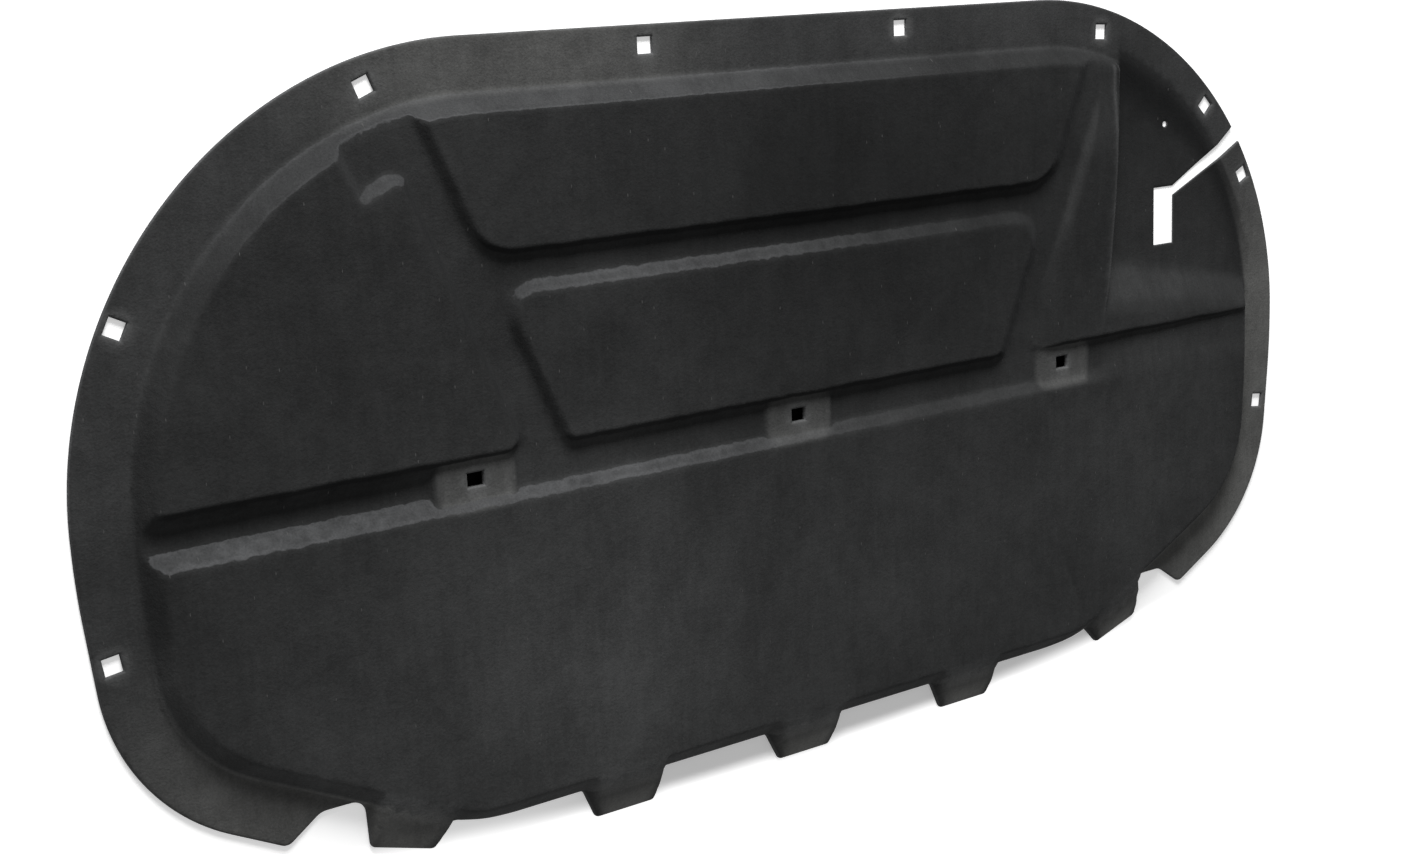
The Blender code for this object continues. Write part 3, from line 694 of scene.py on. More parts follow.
class Relief:
    """The moulded face: its height above the rim, and the lines along which it bends."""

    def __init__(self):
        self.foot = both_sides(wall_corners())
        self.foot_loop = rounded(self.foot, FORM_CHORD)
        self.fields = field_corners()
        self.field_loops = {name: rounded(corners, FORM_CHORD) for name, corners in self.fields.items()}
        self.seat_loops = [rounded(corners, FORM_CHORD) for corners in seat_corners()]
        low_y, high_y = CROSS_CHANNEL_BOTTOM, CROSS_CHANNEL_TOP
        far_x = HALF_WIDTH + OVERRUN
        self.deep = rounded(box_corners(-far_x, low_y, -SEAT_SPACING, high_y), far_x)
        self.shallow = rounded(box_corners(SEAT_SPACING - SEAT_WIDTH / 2, low_y, far_x, high_y), far_x)

    def cone(self, points, loop, rise):
        """A plateau that slopes away outside its crest."""
        return rise - WALL_SLOPE * outside(points, loop)

    def wall_fall(self, points, loop):
        """How far a field's wall falls outside its wavy crest: gentle towards the windscreen
        and the right, and steep at its top towards the front."""
        away, facing = outside_and_facing(points, loop)
        near = np.abs(away) < 2 * WALL_RUN
        height, seed, length = CREST_WAVE
        away[near] += height * unevenness(points[near], seed, length)
        plain = WALL_SLOPE * away
        lit = LIT_SLOPE * away
        shade = soft_min(SHADE_TOP_SLOPE * away, SHADE_TOP + SHADE_SLOPE * away, EDGE_SOFTNESS / 2)
        fall = plain + (lit - plain) * eased(facing[:, 1], *LIT_FACING)
        fall = fall + (shade - plain) * eased(facing[:, 1], *SHADE_FACING)
        gentle = eased(facing[:, 0], *SIDE_FACING) * (points[:, 0] > 0)
        return fall + (GENTLE_SLOPE * away - fall) * gentle * (away > 0)

    def floor_rise(self, points):
        """The channels and the clip seats in them."""
        rise = np.full(len(points), CHANNEL_RISE)
        deep = DEEP_CHANNEL_RISE + WALL_SLOPE * np.maximum(outside(points, self.deep), 0)
        rise = soft_min(rise, deep)
        share = np.clip((points[:, 0] - SEAT_SPACING) / (HALF_WIDTH - RIM_WIDTH - SEAT_SPACING), 0, 1)
        shallow = SHALLOW_CHANNEL_RISE + share * (SHALLOW_CHANNEL_END_RISE - SHALLOW_CHANNEL_RISE)
        shallow = np.minimum(shallow, self.cone(points, self.shallow, SHALLOW_CHANNEL_END_RISE))
        rise = np.maximum(rise, shallow)
        for seat in self.seat_loops:
            raised = soft_min(self.cone(points, seat, SEAT_RISE), SEAT_RISE)
            rise = soft_max(rise, raised, EDGE_SOFTNESS / 2)
        return rise

    def field_rise(self, points, name):
        x, y = points.T
        fall = self.wall_fall(points, self.field_loops[name])
        if name == "front":
            fall = fall * (1 - FRONT_CREST_LOSS * eased(x, *FRONT_CREST_END))
        rise = soft_min(FIELD_RISE - fall, FIELD_RISE)
        if name == "right":
            step = FIELD_RISE - CHANNEL_RISE
            rise = soft_min(rise, FIELD_RISE - step * (y - WEDGE_FADE_Y) / WEDGE_FADE_LENGTH)
            run = step / WALL_SLOPE
            foot = diagonal(y) + DIAGONAL_WIDTH - run
            run = run + (WEDGE_SOFT_RUN - run) * wedge_softness(y)
            rise = soft_min(rise, CHANNEL_RISE + step * (x - foot) / run)
        return rise

    def wall_rise(self, points):
        return -WALL_SLOPE * outside(points, self.foot_loop)

    def rise(self, points):
        """Height of the face above the rim."""
        rise = self.floor_rise(points)
        for name in self.fields:
            rise = soft_max(rise, self.field_rise(points, name))
        rise = soft_max(soft_min(rise, self.wall_rise(points)), 0.0)
        for tab in tab_edges():
            rise = soft_max(rise, tab_rise(points, tab), EDGE_SOFTNESS / 2)
        crease = (from_line(points, FIELD_CREASE) / FIELD_CREASE_WIDTH) ** 2
        rise = rise - FIELD_CREASE_DEPTH * np.exp(-crease)
        return soft_min(rise, pocket_rise(points), EDGE_SOFTNESS / 2)

    def bend_lines(self):
        """Closely spaced lines along each wall, from above its crest to past its foot."""
        lines = []
        for run in FOOT_LINES:
            loop = rounded(grown(self.foot, -run))
            gap = np.abs(self.rise(loop) - soft_max(soft_min(self.wall_rise(loop), FIELD_RISE), 0.0))
            lines += kept_runs(loop, gap < EDGE_SOFTNESS / 2)
        for run in CREST_LINES:
            for name, corners in self.fields.items():
                loop = rounded(grown(corners, run))
                gap = np.abs(self.rise(loop) - self.field_rise(loop, name))
                lines += kept_runs(loop, (gap < 0.8 * EDGE_SOFTNESS) & (self.wall_rise(loop) > 0.004))
        for run in SEAT_LINES:
            for corners, seat in zip(seat_corners(), self.seat_loops):
                loop = rounded(grown(corners, run))
                gap = np.abs(self.rise(loop) - self.cone(loop, seat, SEAT_RISE))
                lines += kept_runs(loop, gap < EDGE_SOFTNESS)
        return lines


def kept_runs(loop, keep):
    """Stretches of a loop whose points are kept, the closed loop itself if all are."""
    if keep.all():
        return [np.vstack([loop, loop[:1]])]
    first = int(np.argmin(keep))
    runs, run = [], []
    for i in range(len(loop)):
        place = (first + i) % len(loop)
        if keep[place]:
            run.append(loop[place])
        elif run:
            runs.append(run)
            run = []
    if run:
        runs.append(run)
    return [np.array(run) for run in runs if len(run) > 1]


def polyline(points):
    """An open line through points, finely divided."""
    result = []
    for start, end in zip(points, points[1:]):
        result += divided(start, end, CHORD)
    return np.array(result + [np.array(points[-1])])


def pocket_lines():
    """Lines along the pocket's crease, its wall at the rim and its ramp."""
    crease = np.array(CREASE)
    lines = []
    for offset in CREASE_LINES:
        lines.append(polyline(crease + (offset, 0)))
    for run in POCKET_RIM_LINES:
        radius = pocket_rim_radius() - run
        turns = np.linspace(0, math.pi / 2, math.ceil(radius * math.pi / 2 / CHORD) + 1)
        arc = windscreen_corner() + radius * np.stack([np.cos(turns), np.sin(turns)], axis=1)
        lines += kept_runs(arc, (arc[:, 0] > crease_x(arc)) & (arc[:, 1] > line_y(arc, RAMP_FOOT)))
    foot, top = np.array(RAMP_FOOT), np.array(RAMP_TOP)
    for share in RAMP_LINES:
        lines.append(polyline(foot + (top - foot) * share))
    for offset in FIELD_CREASE_LINES:
        lines.append(polyline(np.array(FIELD_CREASE) + (offset, 0)))
    return lines


def resting_grid():
    """Points in staggered rows over the whole sheet, for its flat stretches."""
    rows = []
    row_step = FIELD_STEP * math.sqrt(0.75)
    for i, y in enumerate(np.arange(TAB_TIP_Y, WINDSCREEN_EDGE, row_step)):
        x = np.arange(-HALF_WIDTH + (i % 2) * FIELD_STEP / 2, HALF_WIDTH, FIELD_STEP)
        rows.append(np.stack([x, np.full(len(x), y)], axis=1))
    return np.vstack(rows)


def sheet_plan(relief):
    """The sheet in plan: its points, its triangles and each point's distance from a cut edge."""
    sheet = both_sides(sheet_corners())
    holes = hole_corners()
    edge = rounded(sheet)
    hole_loops = [rounded(corners) for corners in holes]
    lines = relief.bend_lines() + pocket_lines()
    for share in EDGE_LINES:
        inset = share * CUT_ROUND
        loops = [rounded(grown(sheet, -inset))] + [rounded(grown(corners, inset)) for corners in holes]
        lines += [np.vstack([loop, loop[:1]]) for loop in loops]
    points = [Vector(point) for point in resting_grid()]
    edges = []
    for line in lines:
        first = len(points)
        points += [Vector(point) for point in line]
        edges += [(first + i, first + i + 1) for i in range(len(line) - 1)]
    flat, _, faces, _, _, _ = delaunay_2d_cdt(points, edges, [], 0, MERGE, False)
    flat = np.array([tuple(point) for point in flat])
    faces = np.array(faces)
    centres = flat[faces].mean(axis=1)
    keep = outside(centres, edge) < 0
    for loop in hole_loops:
        keep &= outside(centres, loop) > 0
    faces = faces[keep]
    used, faces = np.unique(faces, return_inverse=True)
    faces = faces.reshape(-1, 3)
    flat = flat[used]
    from_edge = -outside(flat, edge)
    for loop in hole_loops:
        from_edge = np.minimum(from_edge, outside(flat, loop))
    return flat, faces, np.maximum(from_edge, 0.0)


def cut_rounding(from_edge):
    """How far a face drops towards a cut edge."""
    share = np.clip(1 - from_edge / CUT_ROUND, 0, 1)
    return CUT_ROUND * (1 - np.sqrt(1 - share * share))


def pad_heights(relief, flat, from_edge):
    """Height of the face and of the back at each point of the plan."""
    rise = relief.rise(flat)
    soft = sum(height * unevenness(flat, seed, scale) for height, seed, scale in SOFT_WAVES)
    flatness = smooth(from_edge / SOFT_EDGE)
    face = RIM_FELT + rise + np.where(rise > 0.001, soft, RIM_SOFTNESS * soft) * flatness
    face = np.minimum(face, HIGH.z)
    back = np.maximum(face - FELT, 0.0)
    drop = cut_rounding(from_edge)
    return np.maximum(face - drop, THINNEST_FACE), back + BACK_ROUND * drop


def from_place(flat, x, y):
    """Distance of each point from a place on the sheet."""
    return np.hypot(flat[:, 0] - x, flat[:, 1] - y)


def tab_share(flat):
    """How far each point belongs to a tab, fading into the front field."""
    share = np.zeros(len(flat))
    for root_out, tip_out, tip_in, root_in in tab_edges():
        within = np.minimum(inward(flat, root_out, tip_out), inward(flat, tip_in, root_in))
        along = eased(inward(flat, tip_out, tip_in), *TAB_MARK)
        share = np.maximum(share, along * eased(within, *TAB_MARK_SIDE))
    return share


def seat_share(flat):
    """How far each point belongs to a clip seat."""
    share = np.zeros(len(flat))
    for corners in seat_corners():
        rounder = [(x, y, SEAT_MARK_RADIUS) for x, y, _ in corners]
        distance = outside(flat, rounded(grown(rounder, -SEAT_MARK_INSET)))
        share = np.maximum(share, eased(distance, *SEAT_MARK))
    return share


def worn_and_sheen_share(flat, pressed, seats, tabs):
    """How pale the felt is from wear and from painted sheen: in patches of the rim, and on the seats
    and tabs.
    """
    worn_and_sheen = np.zeros(len(flat))
    fade_start, fade_end = PATCH_FADE
    for x, y, reach, strength in WORN_AND_SHEEN_PATCHES:
        near = eased(from_place(flat, x, y), fade_start * reach, fade_end * reach)
        worn_and_sheen = np.maximum(worn_and_sheen, strength * near)
    tab_worn_and_sheen = tabs * np.clip(TAB_WORN_AND_SHEEN + TAB_SHEEN_RISE * flat[:, 0], 0, 1)
    return np.max([worn_and_sheen * pressed, tab_worn_and_sheen, WORN_SEATS * seats], axis=0)


def rub_and_highlight_share(flat):
    """How pale the felt is: rubbed round the clip holes, and painted highlights along the crease and
    along the wedge.
    """
    x, y = flat.T
    rub_and_highlight = np.zeros(len(flat))
    for hole_x, hole_y, _, _ in clip_holes():
        rub_and_highlight = np.maximum(rub_and_highlight, eased(from_place(flat, hole_x, hole_y), *HOLE_RUB))
    crease = from_line(flat, np.array(CREASE) - (CREASE_HIGHLIGHT_OFFSET, 0))
    on_crease = eased(y, *CREASE_HIGHLIGHT_Y) * np.exp(-(crease / CREASE_HIGHLIGHT_WIDTH) ** 2)
    low = wedge_softness(y)
    offset = WEDGE_HIGHLIGHT_OFFSET[0] + WEDGE_HIGHLIGHT_OFFSET[1] * low
    width = WEDGE_HIGHLIGHT_WIDTH[0] + WEDGE_HIGHLIGHT_WIDTH[1] * low
    on_wedge = np.exp(-((x - diagonal(y) - DIAGONAL_WIDTH + offset) / width) ** 2)
    on_wedge = on_wedge * eased(y, *WEDGE_HIGHLIGHT_LOW_Y) * eased(y, *WEDGE_HIGHLIGHT_HIGH_Y)
    return np.max([rub_and_highlight, CREASE_HIGHLIGHT * on_crease, WEDGE_HIGHLIGHT * on_wedge], axis=0)


def highlight_band_share(flat):
    """How strong the painted highlights, pale bands along the walls, are at each point."""
    x, y = flat.T
    loss = np.where(y < BACK_BANDS_Y[0], eased(x, *FRONT_BAND_LOSS_X), eased(x, *BACK_BAND_LOSS_X))
    share = eased(x, *BAND_END) * (1 - BAND_LOSS * loss)
    share = share * (1 - BACK_BANDS_LOSS * eased(y, *BACK_BANDS_Y))
    left = eased(x, *LEFT_BAND_X) * eased(y, *LEFT_BAND_LOW_Y) * eased(y, *LEFT_BAND_HIGH_Y)
    return share * (1 - left)


def painted_light_and_shade(flat, wall, pressed, tabs):
    """Painted light and painted shade: how much paler or darker than plain the felt is at each point,
    in wide stretches.
    """
    tone = np.zeros(len(flat))
    for x, y, reach, strength in LIGHT_AND_SHADE_PATCHES:
        tone += strength * np.exp(-(from_place(flat, x, y) / reach) ** 2)
    tone *= (1 - pressed) * (1 - tabs)
    tone += TAB_PAINTED_LIGHT * tabs * (1 + flat[:, 0])
    on_wall = eased(wall, *FRONT_WALL_FOOT) * eased(wall, *FRONT_WALL_TOP)
    tone += FRONT_WALL_PAINTED_LIGHT * on_wall * eased(flat[:, 1], *FRONT_WALL_Y) * (1 - tabs)
    foot_x = LEFT_EDGE_OFFSET - diagonal(CROSS_CHANNEL_TOP) - DIAGONAL_WIDTH
    left_edge = ((foot_x, CROSS_CHANNEL_TOP), (LEFT_EDGE_OFFSET - NOTCH_TIP[0], NOTCH_TIP[1]))
    tone -= LEFT_EDGE_PAINTED_SHADE * np.exp(-(from_line(flat, left_edge) / LEFT_EDGE_WIDTH) ** 2)
    return tone


def pocket_painted_shade(flat):
    """Painted shade in the pocket: how dark its felt is made, along its rim and over the top of its
    floor.
    """
    y = flat[:, 1]
    from_rim = -past_pocket_rim(flat)
    reach = RIM_DARK_REACH[0] + RIM_DARK_REACH[1] * eased(y, *RIM_DARK_REACH_Y)
    along_rim = smooth(1 - from_rim / reach) * (from_rim > -RIM_DARK_OVERLAP)
    return np.maximum(along_rim * eased(y, *RIM_DARK_Y), FLOOR_DARK * eased(y, *FLOOR_DARK_Y))


def pad_marks(relief, flat, from_edge):
    """Values at each point for the felt's material to read, from 0 to 1 but for its tone."""
    x, y = flat.T
    wall = relief.wall_rise(flat)
    below_fields = FIELD_RISE - pocket_rise(flat)
    in_pocket = eased(below_fields, *POCKET_DEPTH) * (y > POCKET_LOW_Y)
    floor_depth = FIELD_RISE - PRESSED_FELT + RIM_FELT
    on_ramp = eased(below_fields, floor_depth, floor_depth - RAMP_MARK_RISE)
    on_ramp = on_ramp * (x > crease_x(flat) + RAMP_MARK_OFFSET)
    pressed = eased(wall, *PRESSED_WALL) * (1 - in_pocket * eased(wall, *POCKET_EDGE))
    ramp = RAMP_MARK * on_ramp * in_pocket * eased(x, *RAMP_MARK_X)
    seats, tabs = seat_share(flat), tab_share(flat)
    return {
        "pressed": np.max([pressed, tabs, seats, ramp], axis=0),
        # Wear, and painted sheen on the right of the rim and on the tabs
        "worn_and_sheen": worn_and_sheen_share(flat, pressed, seats, tabs),
        # Painted light and painted shade in wide stretches
        "tone": painted_light_and_shade(flat, wall, pressed, tabs),
        # Painted highlights: pale bands on the walls that face the light
        "painted_highlight": highlight_band_share(flat) * (1 - in_pocket),
        "shade": 1 - OUTER_SHADE_LOSS * eased(wall, OUTER_SHADE_TOP * FIELD_RISE, FIELD_RISE),
        # Rubbed round the clip holes, painted highlights along the crease and the wedge
        "rub_and_highlight": rub_and_highlight_share(flat),
        # Painted shade in the pocket's recess
        "deep": in_pocket * (1 - on_ramp) * pocket_painted_shade(flat),
        "cut": smooth(1 - from_edge / CUT_ROUND),
    }


def build_pad():
    """The felt sheet as one closed mesh, with marks for its material to read."""
    relief = Relief()
    flat, faces, from_edge = sheet_plan(relief)
    face, back = pad_heights(relief, flat, from_edge)
    count = len(flat)
    places = np.zeros((2 * count, 3))
    places[:count, :2] = places[count:, :2] = flat
    places[:, 1] += SHIFT_Y
    places[:count, 2], places[count:, 2] = face, back
    steps = np.vstack([faces[:, [0, 1]], faces[:, [1, 2]], faces[:, [2, 0]]])
    keys = set(map(tuple, steps.tolist()))
    rim_steps = [(a, b) for a, b in keys if (b, a) not in keys]
    polygons = faces.tolist() + (faces[:, ::-1] + count).tolist()
    polygons += [(b, a, a + count, b + count) for a, b in sorted(rim_steps)]
    mesh = bpy.data.meshes.new("felt_pad")
    mesh.from_pydata(places.tolist(), [], polygons)
    mesh.validate()
    mesh.shade_smooth()
    mesh.set_sharp_from_angle(angle=SHARP_EDGE)
    normals = np.zeros(6 * count, dtype=np.float32)
    mesh.vertex_normals.foreach_get("vector", normals)
    normals = normals.reshape(-1, 3)[:count]
    lean = normals[:, :2] @ np.array(LIT_WAY) / np.maximum(normals[:, 2], LEAST_UPWARD)
    lean = lean * smooth((from_edge - CUT_ROUND) / CUT_ROUND)
    marks = pad_marks(relief, flat, from_edge)
    marks["lean"] = lean
    for name, values in marks.items():
        layer = mesh.attributes.new(name, "FLOAT", "POINT")
        layer.data.foreach_set("value", np.concatenate([values, 0 * values]).astype(np.float32))
    pad = bpy.data.objects.new("felt_pad", mesh)
    bpy.context.scene.collection.objects.link(pad)
    return pad


# Colours are linear light
LOFTY_FELT = (0.0207, 0.0211, 0.0212, 1)
PRESSED_COLOUR = (0.0315, 0.0320, 0.0322, 1)
# Wear, and painted sheen
WORN_AND_SHEEN_COLOUR = (0.104, 0.1042, 0.1005, 1)
# Painted highlight on the walls that face the light
HIGHLIGHT_COLOUR = (0.058, 0.0590, 0.0605, 1)
SHADE_COLOUR = (0.009, 0.0091, 0.0093, 1)
# Painted shade in the pocket
POCKET_SHADE_COLOUR = (0.0035, 0.0036, 0.0037, 1)
# Rubbed felt, and painted highlights along the crease and the wedge
RUB_AND_HIGHLIGHT_COLOUR = (0.075, 0.076, 0.076, 1)
CUT_COLOUR = (0.075, 0.076, 0.078, 1)
LINT = (0.065, 0.065, 0.064, 1)
FLOOR_WHITE = (0.90, 0.90, 0.89, 1)
SEEN_FLOOR = (0.95, 0.95, 0.95, 1)
# Painted shade: the floor in the hollow under the pad's middle
HOLLOW_PAINTED_SHADE = (0.01, 0.01, 0.01, 1)

# The nap: size of its fibres, strength of its streaks, and the tone they range over
FIBRE_SIZE = 0.0017
STREAKS = 0.35
NAP_TONE = (0.85, 1.95, 0.66, 1.36)
NAP_HEIGHT = 0.0006

# Noise in the felt: features per metre, along each way for the streaks and the lint; clouds and
# blotches of its tone and tufts of its height also by detail and strength
STREAK_STRETCH = (210, 30, 90)
CLOUDS = (14.0, 3.0, 0.9)
BLOTCHES = (52.0, 2.0, 0.5)
TUFTS = (190.0, 2.0, 1.2)
WAVER_SCALE = 120.0
LINT_STRETCH = (75, 20, 1)
LINT_TURNS = (0.5, 2.2)
LINT_SIZE = (0.014, 0.034)
LINT_CHOICE = (0.80, 0.95)

# Walls by how far they lean towards the light: where a painted highlight band starts and is full,
# where its middle starts to be plainer, and where the painted shade on a wall facing away is darkest
# and where it ends
WAVER = 0.5
BAND_LEAN = (0.38, 0.52)
MIDDLE_LEAN = (0.56, 0.84)
MIDDLE_SHARE = 0.5
SHADE_LEAN = (-0.95, -0.50)
DARKEST_SHADE = 0.85
RUB_AND_HIGHLIGHT_STRENGTH = 0.55
CUT_EDGE = (0.2, 1.0)
CUT_STRENGTH = 0.7

# The floor, and its glow for the camera: beside the pad, how much more further out, and how much
# less along the pad's front on the right, a painted shadow there. Distances are from the middle of the
# floor.
FLOOR_SIZE = 6.0
FLOOR_GAP = 0.0002
NEAR_GLOW = 0.36
FURTHER_GLOW = 0.52
PAINTED_FRONT_SHADOW = 0.20
FAR_X = (0.58, 0.74)
FAR_Y = (0.33, 0.45)
FAR_AHEAD = (0.294, 0.314)
FRONT_BEND = 0.16
FRONT_AHEAD = (0.20, 0.27)
FRONT_X = (0.33, 0.39)
FRONT_LEFT_X = (-0.35, -0.10)
# The hollow under the pad's middle, where the floor is painted dark as shade
HOLLOW_X = (0.40, 0.42)
HOLLOW_Y = (0.10, 0.12)

# Soft lamps: name, place, what they point at, width and height, and strength in watts
PANELS = (
    ("windscreen_side_panel", (-0.35, 2.3, 1.0), (0, 0.05, 0), (1.4, 0.9), 112),
    ("front_side_panel", (-0.35, -1.6, 1.1), (0, -0.15, 0), (1.2, 0.7), 5),
)
ROOM_LIGHT = 0.21


def feed(tree, made, inputs):
    """Links or sets a node's inputs, given by name or number."""
    for name, value in inputs.items():
        if isinstance(value, bpy.types.NodeSocket):
            tree.links.new(value, made.inputs[name])
        else:
            made.inputs[name].default_value = value


def node(tree, kind, inputs=None, **settings):
    """A new node with its settings and inputs."""
    made = tree.nodes.new(kind)
    for name, value in settings.items():
        setattr(made, name, value)
    feed(tree, made, inputs or {})
    return made


def mixed(tree, share, first, second, blend="MIX"):
    """A colour mix node's result."""
    inputs = {"Factor": share, 6: first, 7: second}
    return node(tree, "ShaderNodeMix", inputs, data_type="RGBA", blend_type=blend).outputs[2]


def ranged(tree, value, low, high, to_low=0.0, to_high=1.0):
    """A value mapped from one range to another, and held within it."""
    inputs = {"Value": value, "From Min": low, "From Max": high, "To Min": to_low, "To Max": to_high}
    span = node(tree, "ShaderNodeMapRange", inputs, interpolation_type="SMOOTHSTEP")
    return span.outputs["Result"]


def noise_value(tree, place, scale, detail, stretch=None, roughness=0.5):
    """A noise texture's value, from 0 to 1, on a place that may be stretched first."""
    if stretch is not None:
        place = node(tree, "ShaderNodeMapping", {"Vector": place, "Scale": stretch}).outputs[0]
    inputs = {"Vector": place, "Scale": scale, "Detail": detail, "Roughness": roughness}
    return node(tree, "ShaderNodeTexNoise", inputs).outputs["Fac"]


def computed(tree, operation, *values):
    """A maths node's result."""
    return node(tree, "ShaderNodeMath", dict(enumerate(values)), operation=operation).outputs[0]


def product(tree, first, *others):
    """Values multiplied one after the other."""
    for value in others:
        first = computed(tree, "MULTIPLY", first, value)
    return first


def lint_mask(group, place, turn):
    """A few short stray fibres, all lying one way."""
    turned = {"Vector": place, "Rotation": (0, 0, turn), "Scale": LINT_STRETCH}
    place = node(group, "ShaderNodeMapping", turned).outputs[0]
    inputs = {"Vector": place, "Scale": 1.0}
    cells = node(group, "ShaderNodeTexVoronoi", inputs, feature="F1", voronoi_dimensions="2D")
    near = ranged(group, cells.outputs["Distance"], *LINT_SIZE, 1.0, 0.0)
    chosen = node(group, "ShaderNodeSeparateColor", {0: cells.outputs["Color"]})
    few = ranged(group, chosen.outputs[0], *LINT_CHOICE)
    return product(group, near, few)


def felt_nap_group():
    """Needled fibre: a tone that varies over the felt, the height of its nap, a mask of lint,
    and a waver for the edges of the painted highlights and painted shade on the walls."""
    group = bpy.data.node_groups.new("felt_nap", "ShaderNodeTree")
    sockets = {"INPUT": ("Fibre Size", "Streak"), "OUTPUT": ("Tone", "Height", "Lint", "Waver")}
    for way, names in sockets.items():
        for name in names:
            group.interface.new_socket(name, in_out=way, socket_type="NodeSocketFloat")
    given = node(group, "NodeGroupInput")
    place = node(group, "ShaderNodeTexCoord").outputs["Object"]
    fibre_scale = computed(group, "DIVIDE", 1.0, given.outputs["Fibre Size"])
    fibres = noise_value(group, place, fibre_scale, 4.0, roughness=0.65)
    streaks = noise_value(group, place, 1.0, 2.0, STREAK_STRETCH)
    tone = computed(group, "MULTIPLY_ADD", streaks, given.outputs["Streak"], fibres)
    for scale, detail, strength in (CLOUDS, BLOTCHES):
        tone = computed(group, "MULTIPLY_ADD", noise_value(group, place, scale, detail), strength, tone)
    scale, detail, strength = TUFTS
    height = computed(group, "MULTIPLY_ADD", noise_value(group, place, scale, detail), strength, fibres)
    one_way, other_way = (lint_mask(group, place, turn) for turn in LINT_TURNS)
    lint = computed(group, "MAXIMUM", one_way, other_way)
    waver = computed(group, "SUBTRACT", noise_value(group, place, WAVER_SCALE, 2.0), 0.5)
    node(group, "NodeGroupOutput", {"Tone": tone, "Height": height, "Lint": lint, "Waver": waver})
    return group


def mark(tree, name):
    """One of the marks stored on the pad's mesh."""
    return node(tree, "ShaderNodeAttribute", attribute_name=name).outputs["Fac"]


def new_material(name):
    """A material, its node tree and its shader."""
    material = bpy.data.materials.new(name)
    material.use_nodes = True
    return material, material.node_tree, material.node_tree.nodes["Principled BSDF"]


def felt_material(nap_group):
    """Black felt: lofty on the fields, pressed and paler on the rim, seats and tabs, palest
    where it has wear and where sheen is painted, with painted highlights on walls that face the light,
    painted shade on walls that face away and in the pocket, painted highlights along the crease and
    the wedge, and wide stretches of painted light and shade."""
    material, tree, shader = new_material("black_felt")
    sizes = {"Fibre Size": FIBRE_SIZE, "Streak": STREAKS}
    nap = node(tree, "ShaderNodeGroup", sizes, node_tree=nap_group)
    colour = mixed(tree, mark(tree, "pressed"), LOFTY_FELT, PRESSED_COLOUR)
    # Wear, and painted sheen on the right of the rim and on the tabs
    colour = mixed(tree, mark(tree, "worn_and_sheen"), colour, WORN_AND_SHEEN_COLOUR)
    # Painted shade in the pocket
    colour = mixed(tree, mark(tree, "deep"), colour, POCKET_SHADE_COLOUR)
    lean = computed(tree, "MULTIPLY_ADD", nap.outputs["Waver"], WAVER, mark(tree, "lean"))
    # Painted highlight: walls that lean towards the light are made paler
    painted_highlight = product(tree, mark(tree, "painted_highlight"), ranged(tree, lean, *BAND_LEAN))
    pale = product(tree, painted_highlight, ranged(tree, lean, *MIDDLE_LEAN, 1.0, MIDDLE_SHARE))
    colour = mixed(tree, pale, colour, HIGHLIGHT_COLOUR)
    in_shade = product(tree, ranged(tree, lean, *SHADE_LEAN, DARKEST_SHADE, 0.0), mark(tree, "shade"))
    colour = mixed(tree, in_shade, colour, SHADE_COLOUR)
    # Rubbed round the clip holes, painted highlights along the crease and the wedge
    rub_and_highlight_mix = ranged(tree, mark(tree, "rub_and_highlight"), 0.0, 1.0, 0.0, RUB_AND_HIGHLIGHT_STRENGTH)
    colour = mixed(tree, rub_and_highlight_mix, colour, RUB_AND_HIGHLIGHT_COLOUR)
    cut = ranged(tree, mark(tree, "cut"), *CUT_EDGE, 0.0, CUT_STRENGTH)
    colour = mixed(tree, cut, colour, CUT_COLOUR)
    # Painted light and painted shade in wide stretches, left off the painted highlights
    broad = product(tree, mark(tree, "tone"), computed(tree, "SUBTRACT", 1.0, painted_highlight))
    tone = ranged(tree, nap.outputs["Tone"], *NAP_TONE)
    tone = product(tree, tone, computed(tree, "ADD", broad, 1.0))
    tone_colour = node(tree, "ShaderNodeCombineColor", {0: tone, 1: tone, 2: tone})
    colour = mixed(tree, 1.0, colour, tone_colour.outputs[0], "MULTIPLY")
    colour = mixed(tree, nap.outputs["Lint"], colour, LINT)
    bump = {"Strength": 0.6, "Distance": NAP_HEIGHT, "Height": nap.outputs["Height"]}
    felt = {
        "Base Color": colour,
        "Roughness": 0.95,
        "Specular IOR Level": 0.10,
        "Sheen Weight": 0.035,
        "Sheen Roughness": 0.5,
        "Sheen Tint": (0.55, 0.57, 0.6, 1),
        "Normal": node(tree, "ShaderNodeBump", bump).outputs[0],
    }
    feed(tree, shader, felt)
    return material


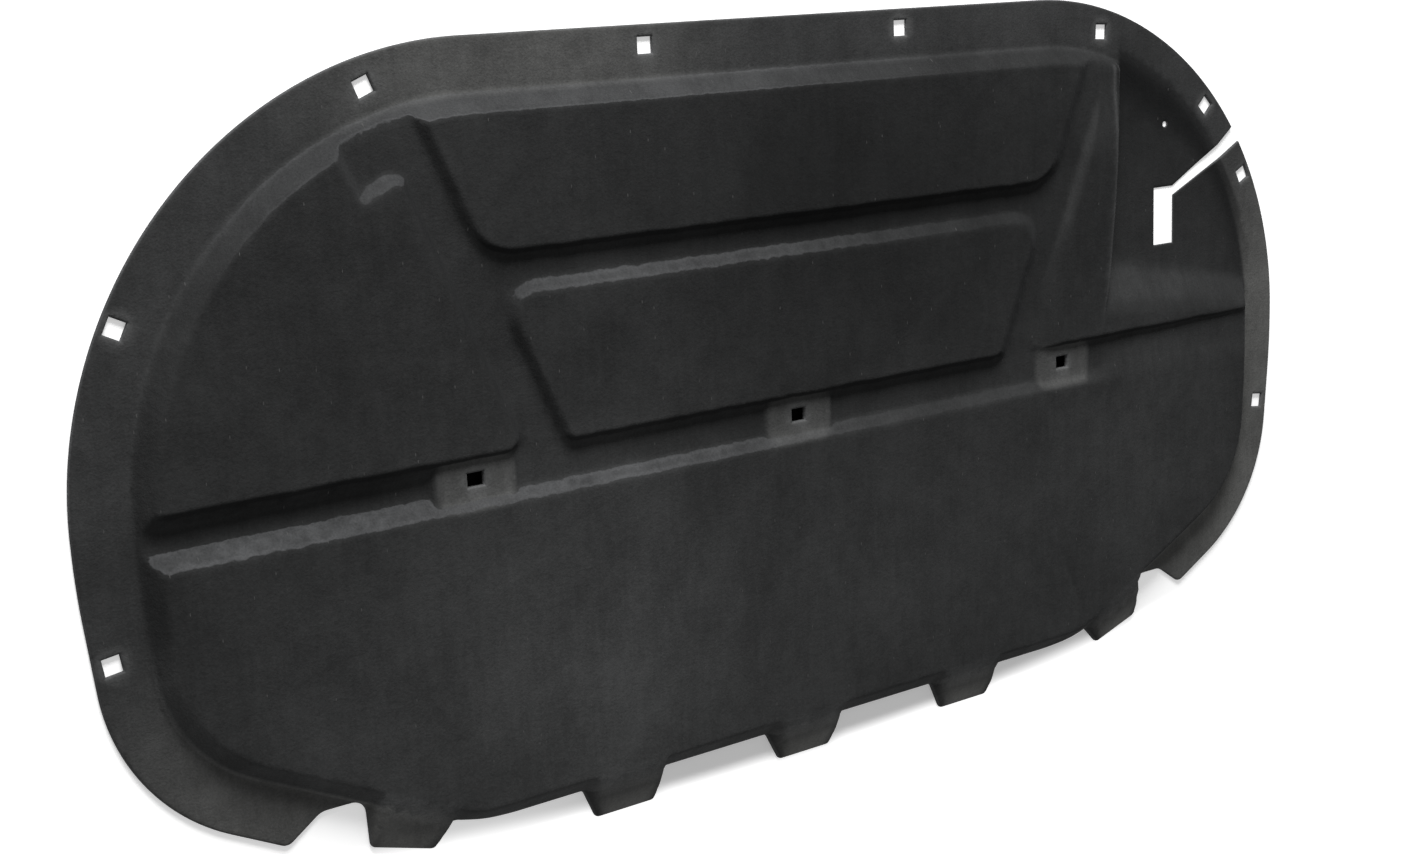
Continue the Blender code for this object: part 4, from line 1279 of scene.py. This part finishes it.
def floor_glow(tree):
    """The floor's strength of glow for the camera, less along the pad's front on the right as a
    painted shadow, and a mask that leaves out the hollow under the pad's middle, where the floor is
    painted dark as shade."""
    place = node(tree, "ShaderNodeTexCoord").outputs["Object"]
    place = node(tree, "ShaderNodeSeparateXYZ", {0: place})
    across = computed(tree, "ABSOLUTE", place.outputs["X"])
    along = computed(tree, "ABSOLUTE", place.outputs["Y"])
    bend = product(tree, across, across, FRONT_BEND)
    ahead = computed(tree, "SUBTRACT", bend, place.outputs["Y"])
    far = computed(tree, "MAXIMUM", ranged(tree, across, *FAR_X), ranged(tree, along, *FAR_Y))
    far = computed(tree, "MAXIMUM", far, ranged(tree, ahead, *FAR_AHEAD))
    # Less glow along the pad's front on the right: a painted shadow
    front = product(
        tree,
        ranged(tree, ahead, *FRONT_AHEAD),
        ranged(tree, across, *FRONT_X, 1.0, 0.0),
        ranged(tree, place.outputs["X"], *FRONT_LEFT_X, 0.0, PAINTED_FRONT_SHADOW),
        computed(tree, "SUBTRACT", 1.0, far),
    )
    strength = computed(tree, "MULTIPLY_ADD", far, FURTHER_GLOW, NEAR_GLOW)
    strength = computed(tree, "SUBTRACT", strength, front)
    clear = computed(tree, "MAXIMUM", ranged(tree, across, *HOLLOW_X), ranged(tree, along, *HOLLOW_Y))
    return product(tree, strength, clear), clear


def floor_material():
    """A white floor that glows a little for the camera: most away from the pad and least along
    its front, so that the shadow there stays and is deepened on the right by a painted shadow, and not
    at all in the hollow under its middle, where the floor is painted dark as shade."""
    material, tree, shader = new_material("white_floor")
    feed(tree, shader, {"Base Color": FLOOR_WHITE, "Roughness": 0.9})
    strength, clear = floor_glow(tree)
    # The floor in the hollow under the pad's middle is painted dark as shade
    seen = node(tree, "ShaderNodeBsdfDiffuse", {"Color": mixed(tree, clear, HOLLOW_PAINTED_SHADE, SEEN_FLOOR)})
    glow = node(tree, "ShaderNodeEmission", {"Strength": strength})
    both = node(tree, "ShaderNodeAddShader", {0: seen.outputs[0], 1: glow.outputs[0]})
    path = node(tree, "ShaderNodeLightPath")
    ways = {0: path.outputs["Is Camera Ray"], 1: shader.outputs[0], 2: both.outputs[0]}
    choice = node(tree, "ShaderNodeMixShader", ways)
    feed(tree, tree.nodes["Material Output"], {"Surface": choice.outputs[0]})
    return material


def add_floor():
    size = FLOOR_SIZE
    mesh = bpy.data.meshes.new("studio_floor")
    corners = [(-size, -size, 0), (size, -size, 0), (size, size, 0), (-size, size, 0)]
    mesh.from_pydata(corners, [], [(0, 1, 2, 3)])
    mesh.materials.append(floor_material())
    floor = bpy.data.objects.new("studio_floor", mesh)
    floor.location.z = LOW.z - FLOOR_GAP
    bpy.context.scene.collection.objects.link(floor)


def add_panel(name, place, target, size, watts):
    """A soft rectangular lamp."""
    lamp = bpy.data.lights.new(name, "AREA")
    lamp.shape = "RECTANGLE"
    lamp.size, lamp.size_y = size
    lamp.energy = watts
    panel = bpy.data.objects.new(name, lamp)
    panel.location = place
    panel.rotation_euler = (Vector(target) - Vector(place)).to_track_quat("-Z", "Y").to_euler()
    bpy.context.scene.collection.objects.link(panel)


def add_lights():
    for panel in PANELS:
        add_panel(*panel)
    world = bpy.data.worlds.new("studio")
    world.use_nodes = True
    background = world.node_tree.nodes["Background"]
    background.inputs["Color"].default_value = (1, 1, 1, 1)
    background.inputs["Strength"].default_value = ROOM_LIGHT
    bpy.context.scene.world = world


# Camera, fitted to the photo: its place and the ways that its right, down and forward point
CAMERA_PLACE = (-0.9571, 0.33745, 1.2676)
CAMERA_RIGHT = (0.81567, -0.04380, 0.57685)
CAMERA_DOWN = (-0.16217, -0.97446, 0.15532)
CAMERA_FORWARD = (0.55532, -0.22024, -0.80194)
FOCAL_PIXELS = 2000
IMAGE_WIDTH = 1420


def add_camera():
    lens = bpy.data.cameras.new("camera")
    lens.sensor_width = 36
    lens.lens = lens.sensor_width * FOCAL_PIXELS / IMAGE_WIDTH
    lens.clip_end = 50
    camera = bpy.data.objects.new("camera", lens)
    turn = Matrix((Vector(CAMERA_RIGHT), -Vector(CAMERA_DOWN), -Vector(CAMERA_FORWARD))).transposed()
    camera.matrix_world = Matrix.Translation(CAMERA_PLACE) @ turn.to_4x4()
    bpy.context.scene.collection.objects.link(camera)
    bpy.context.scene.camera = camera


def main():
    pad = build_pad()
    pad.data.materials.append(felt_material(felt_nap_group()))
    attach(pad, "root")
    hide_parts(PAD)
    add_floor()
    add_lights()
    add_camera()
    bpy.context.scene.view_settings.view_transform = "Standard"


main()
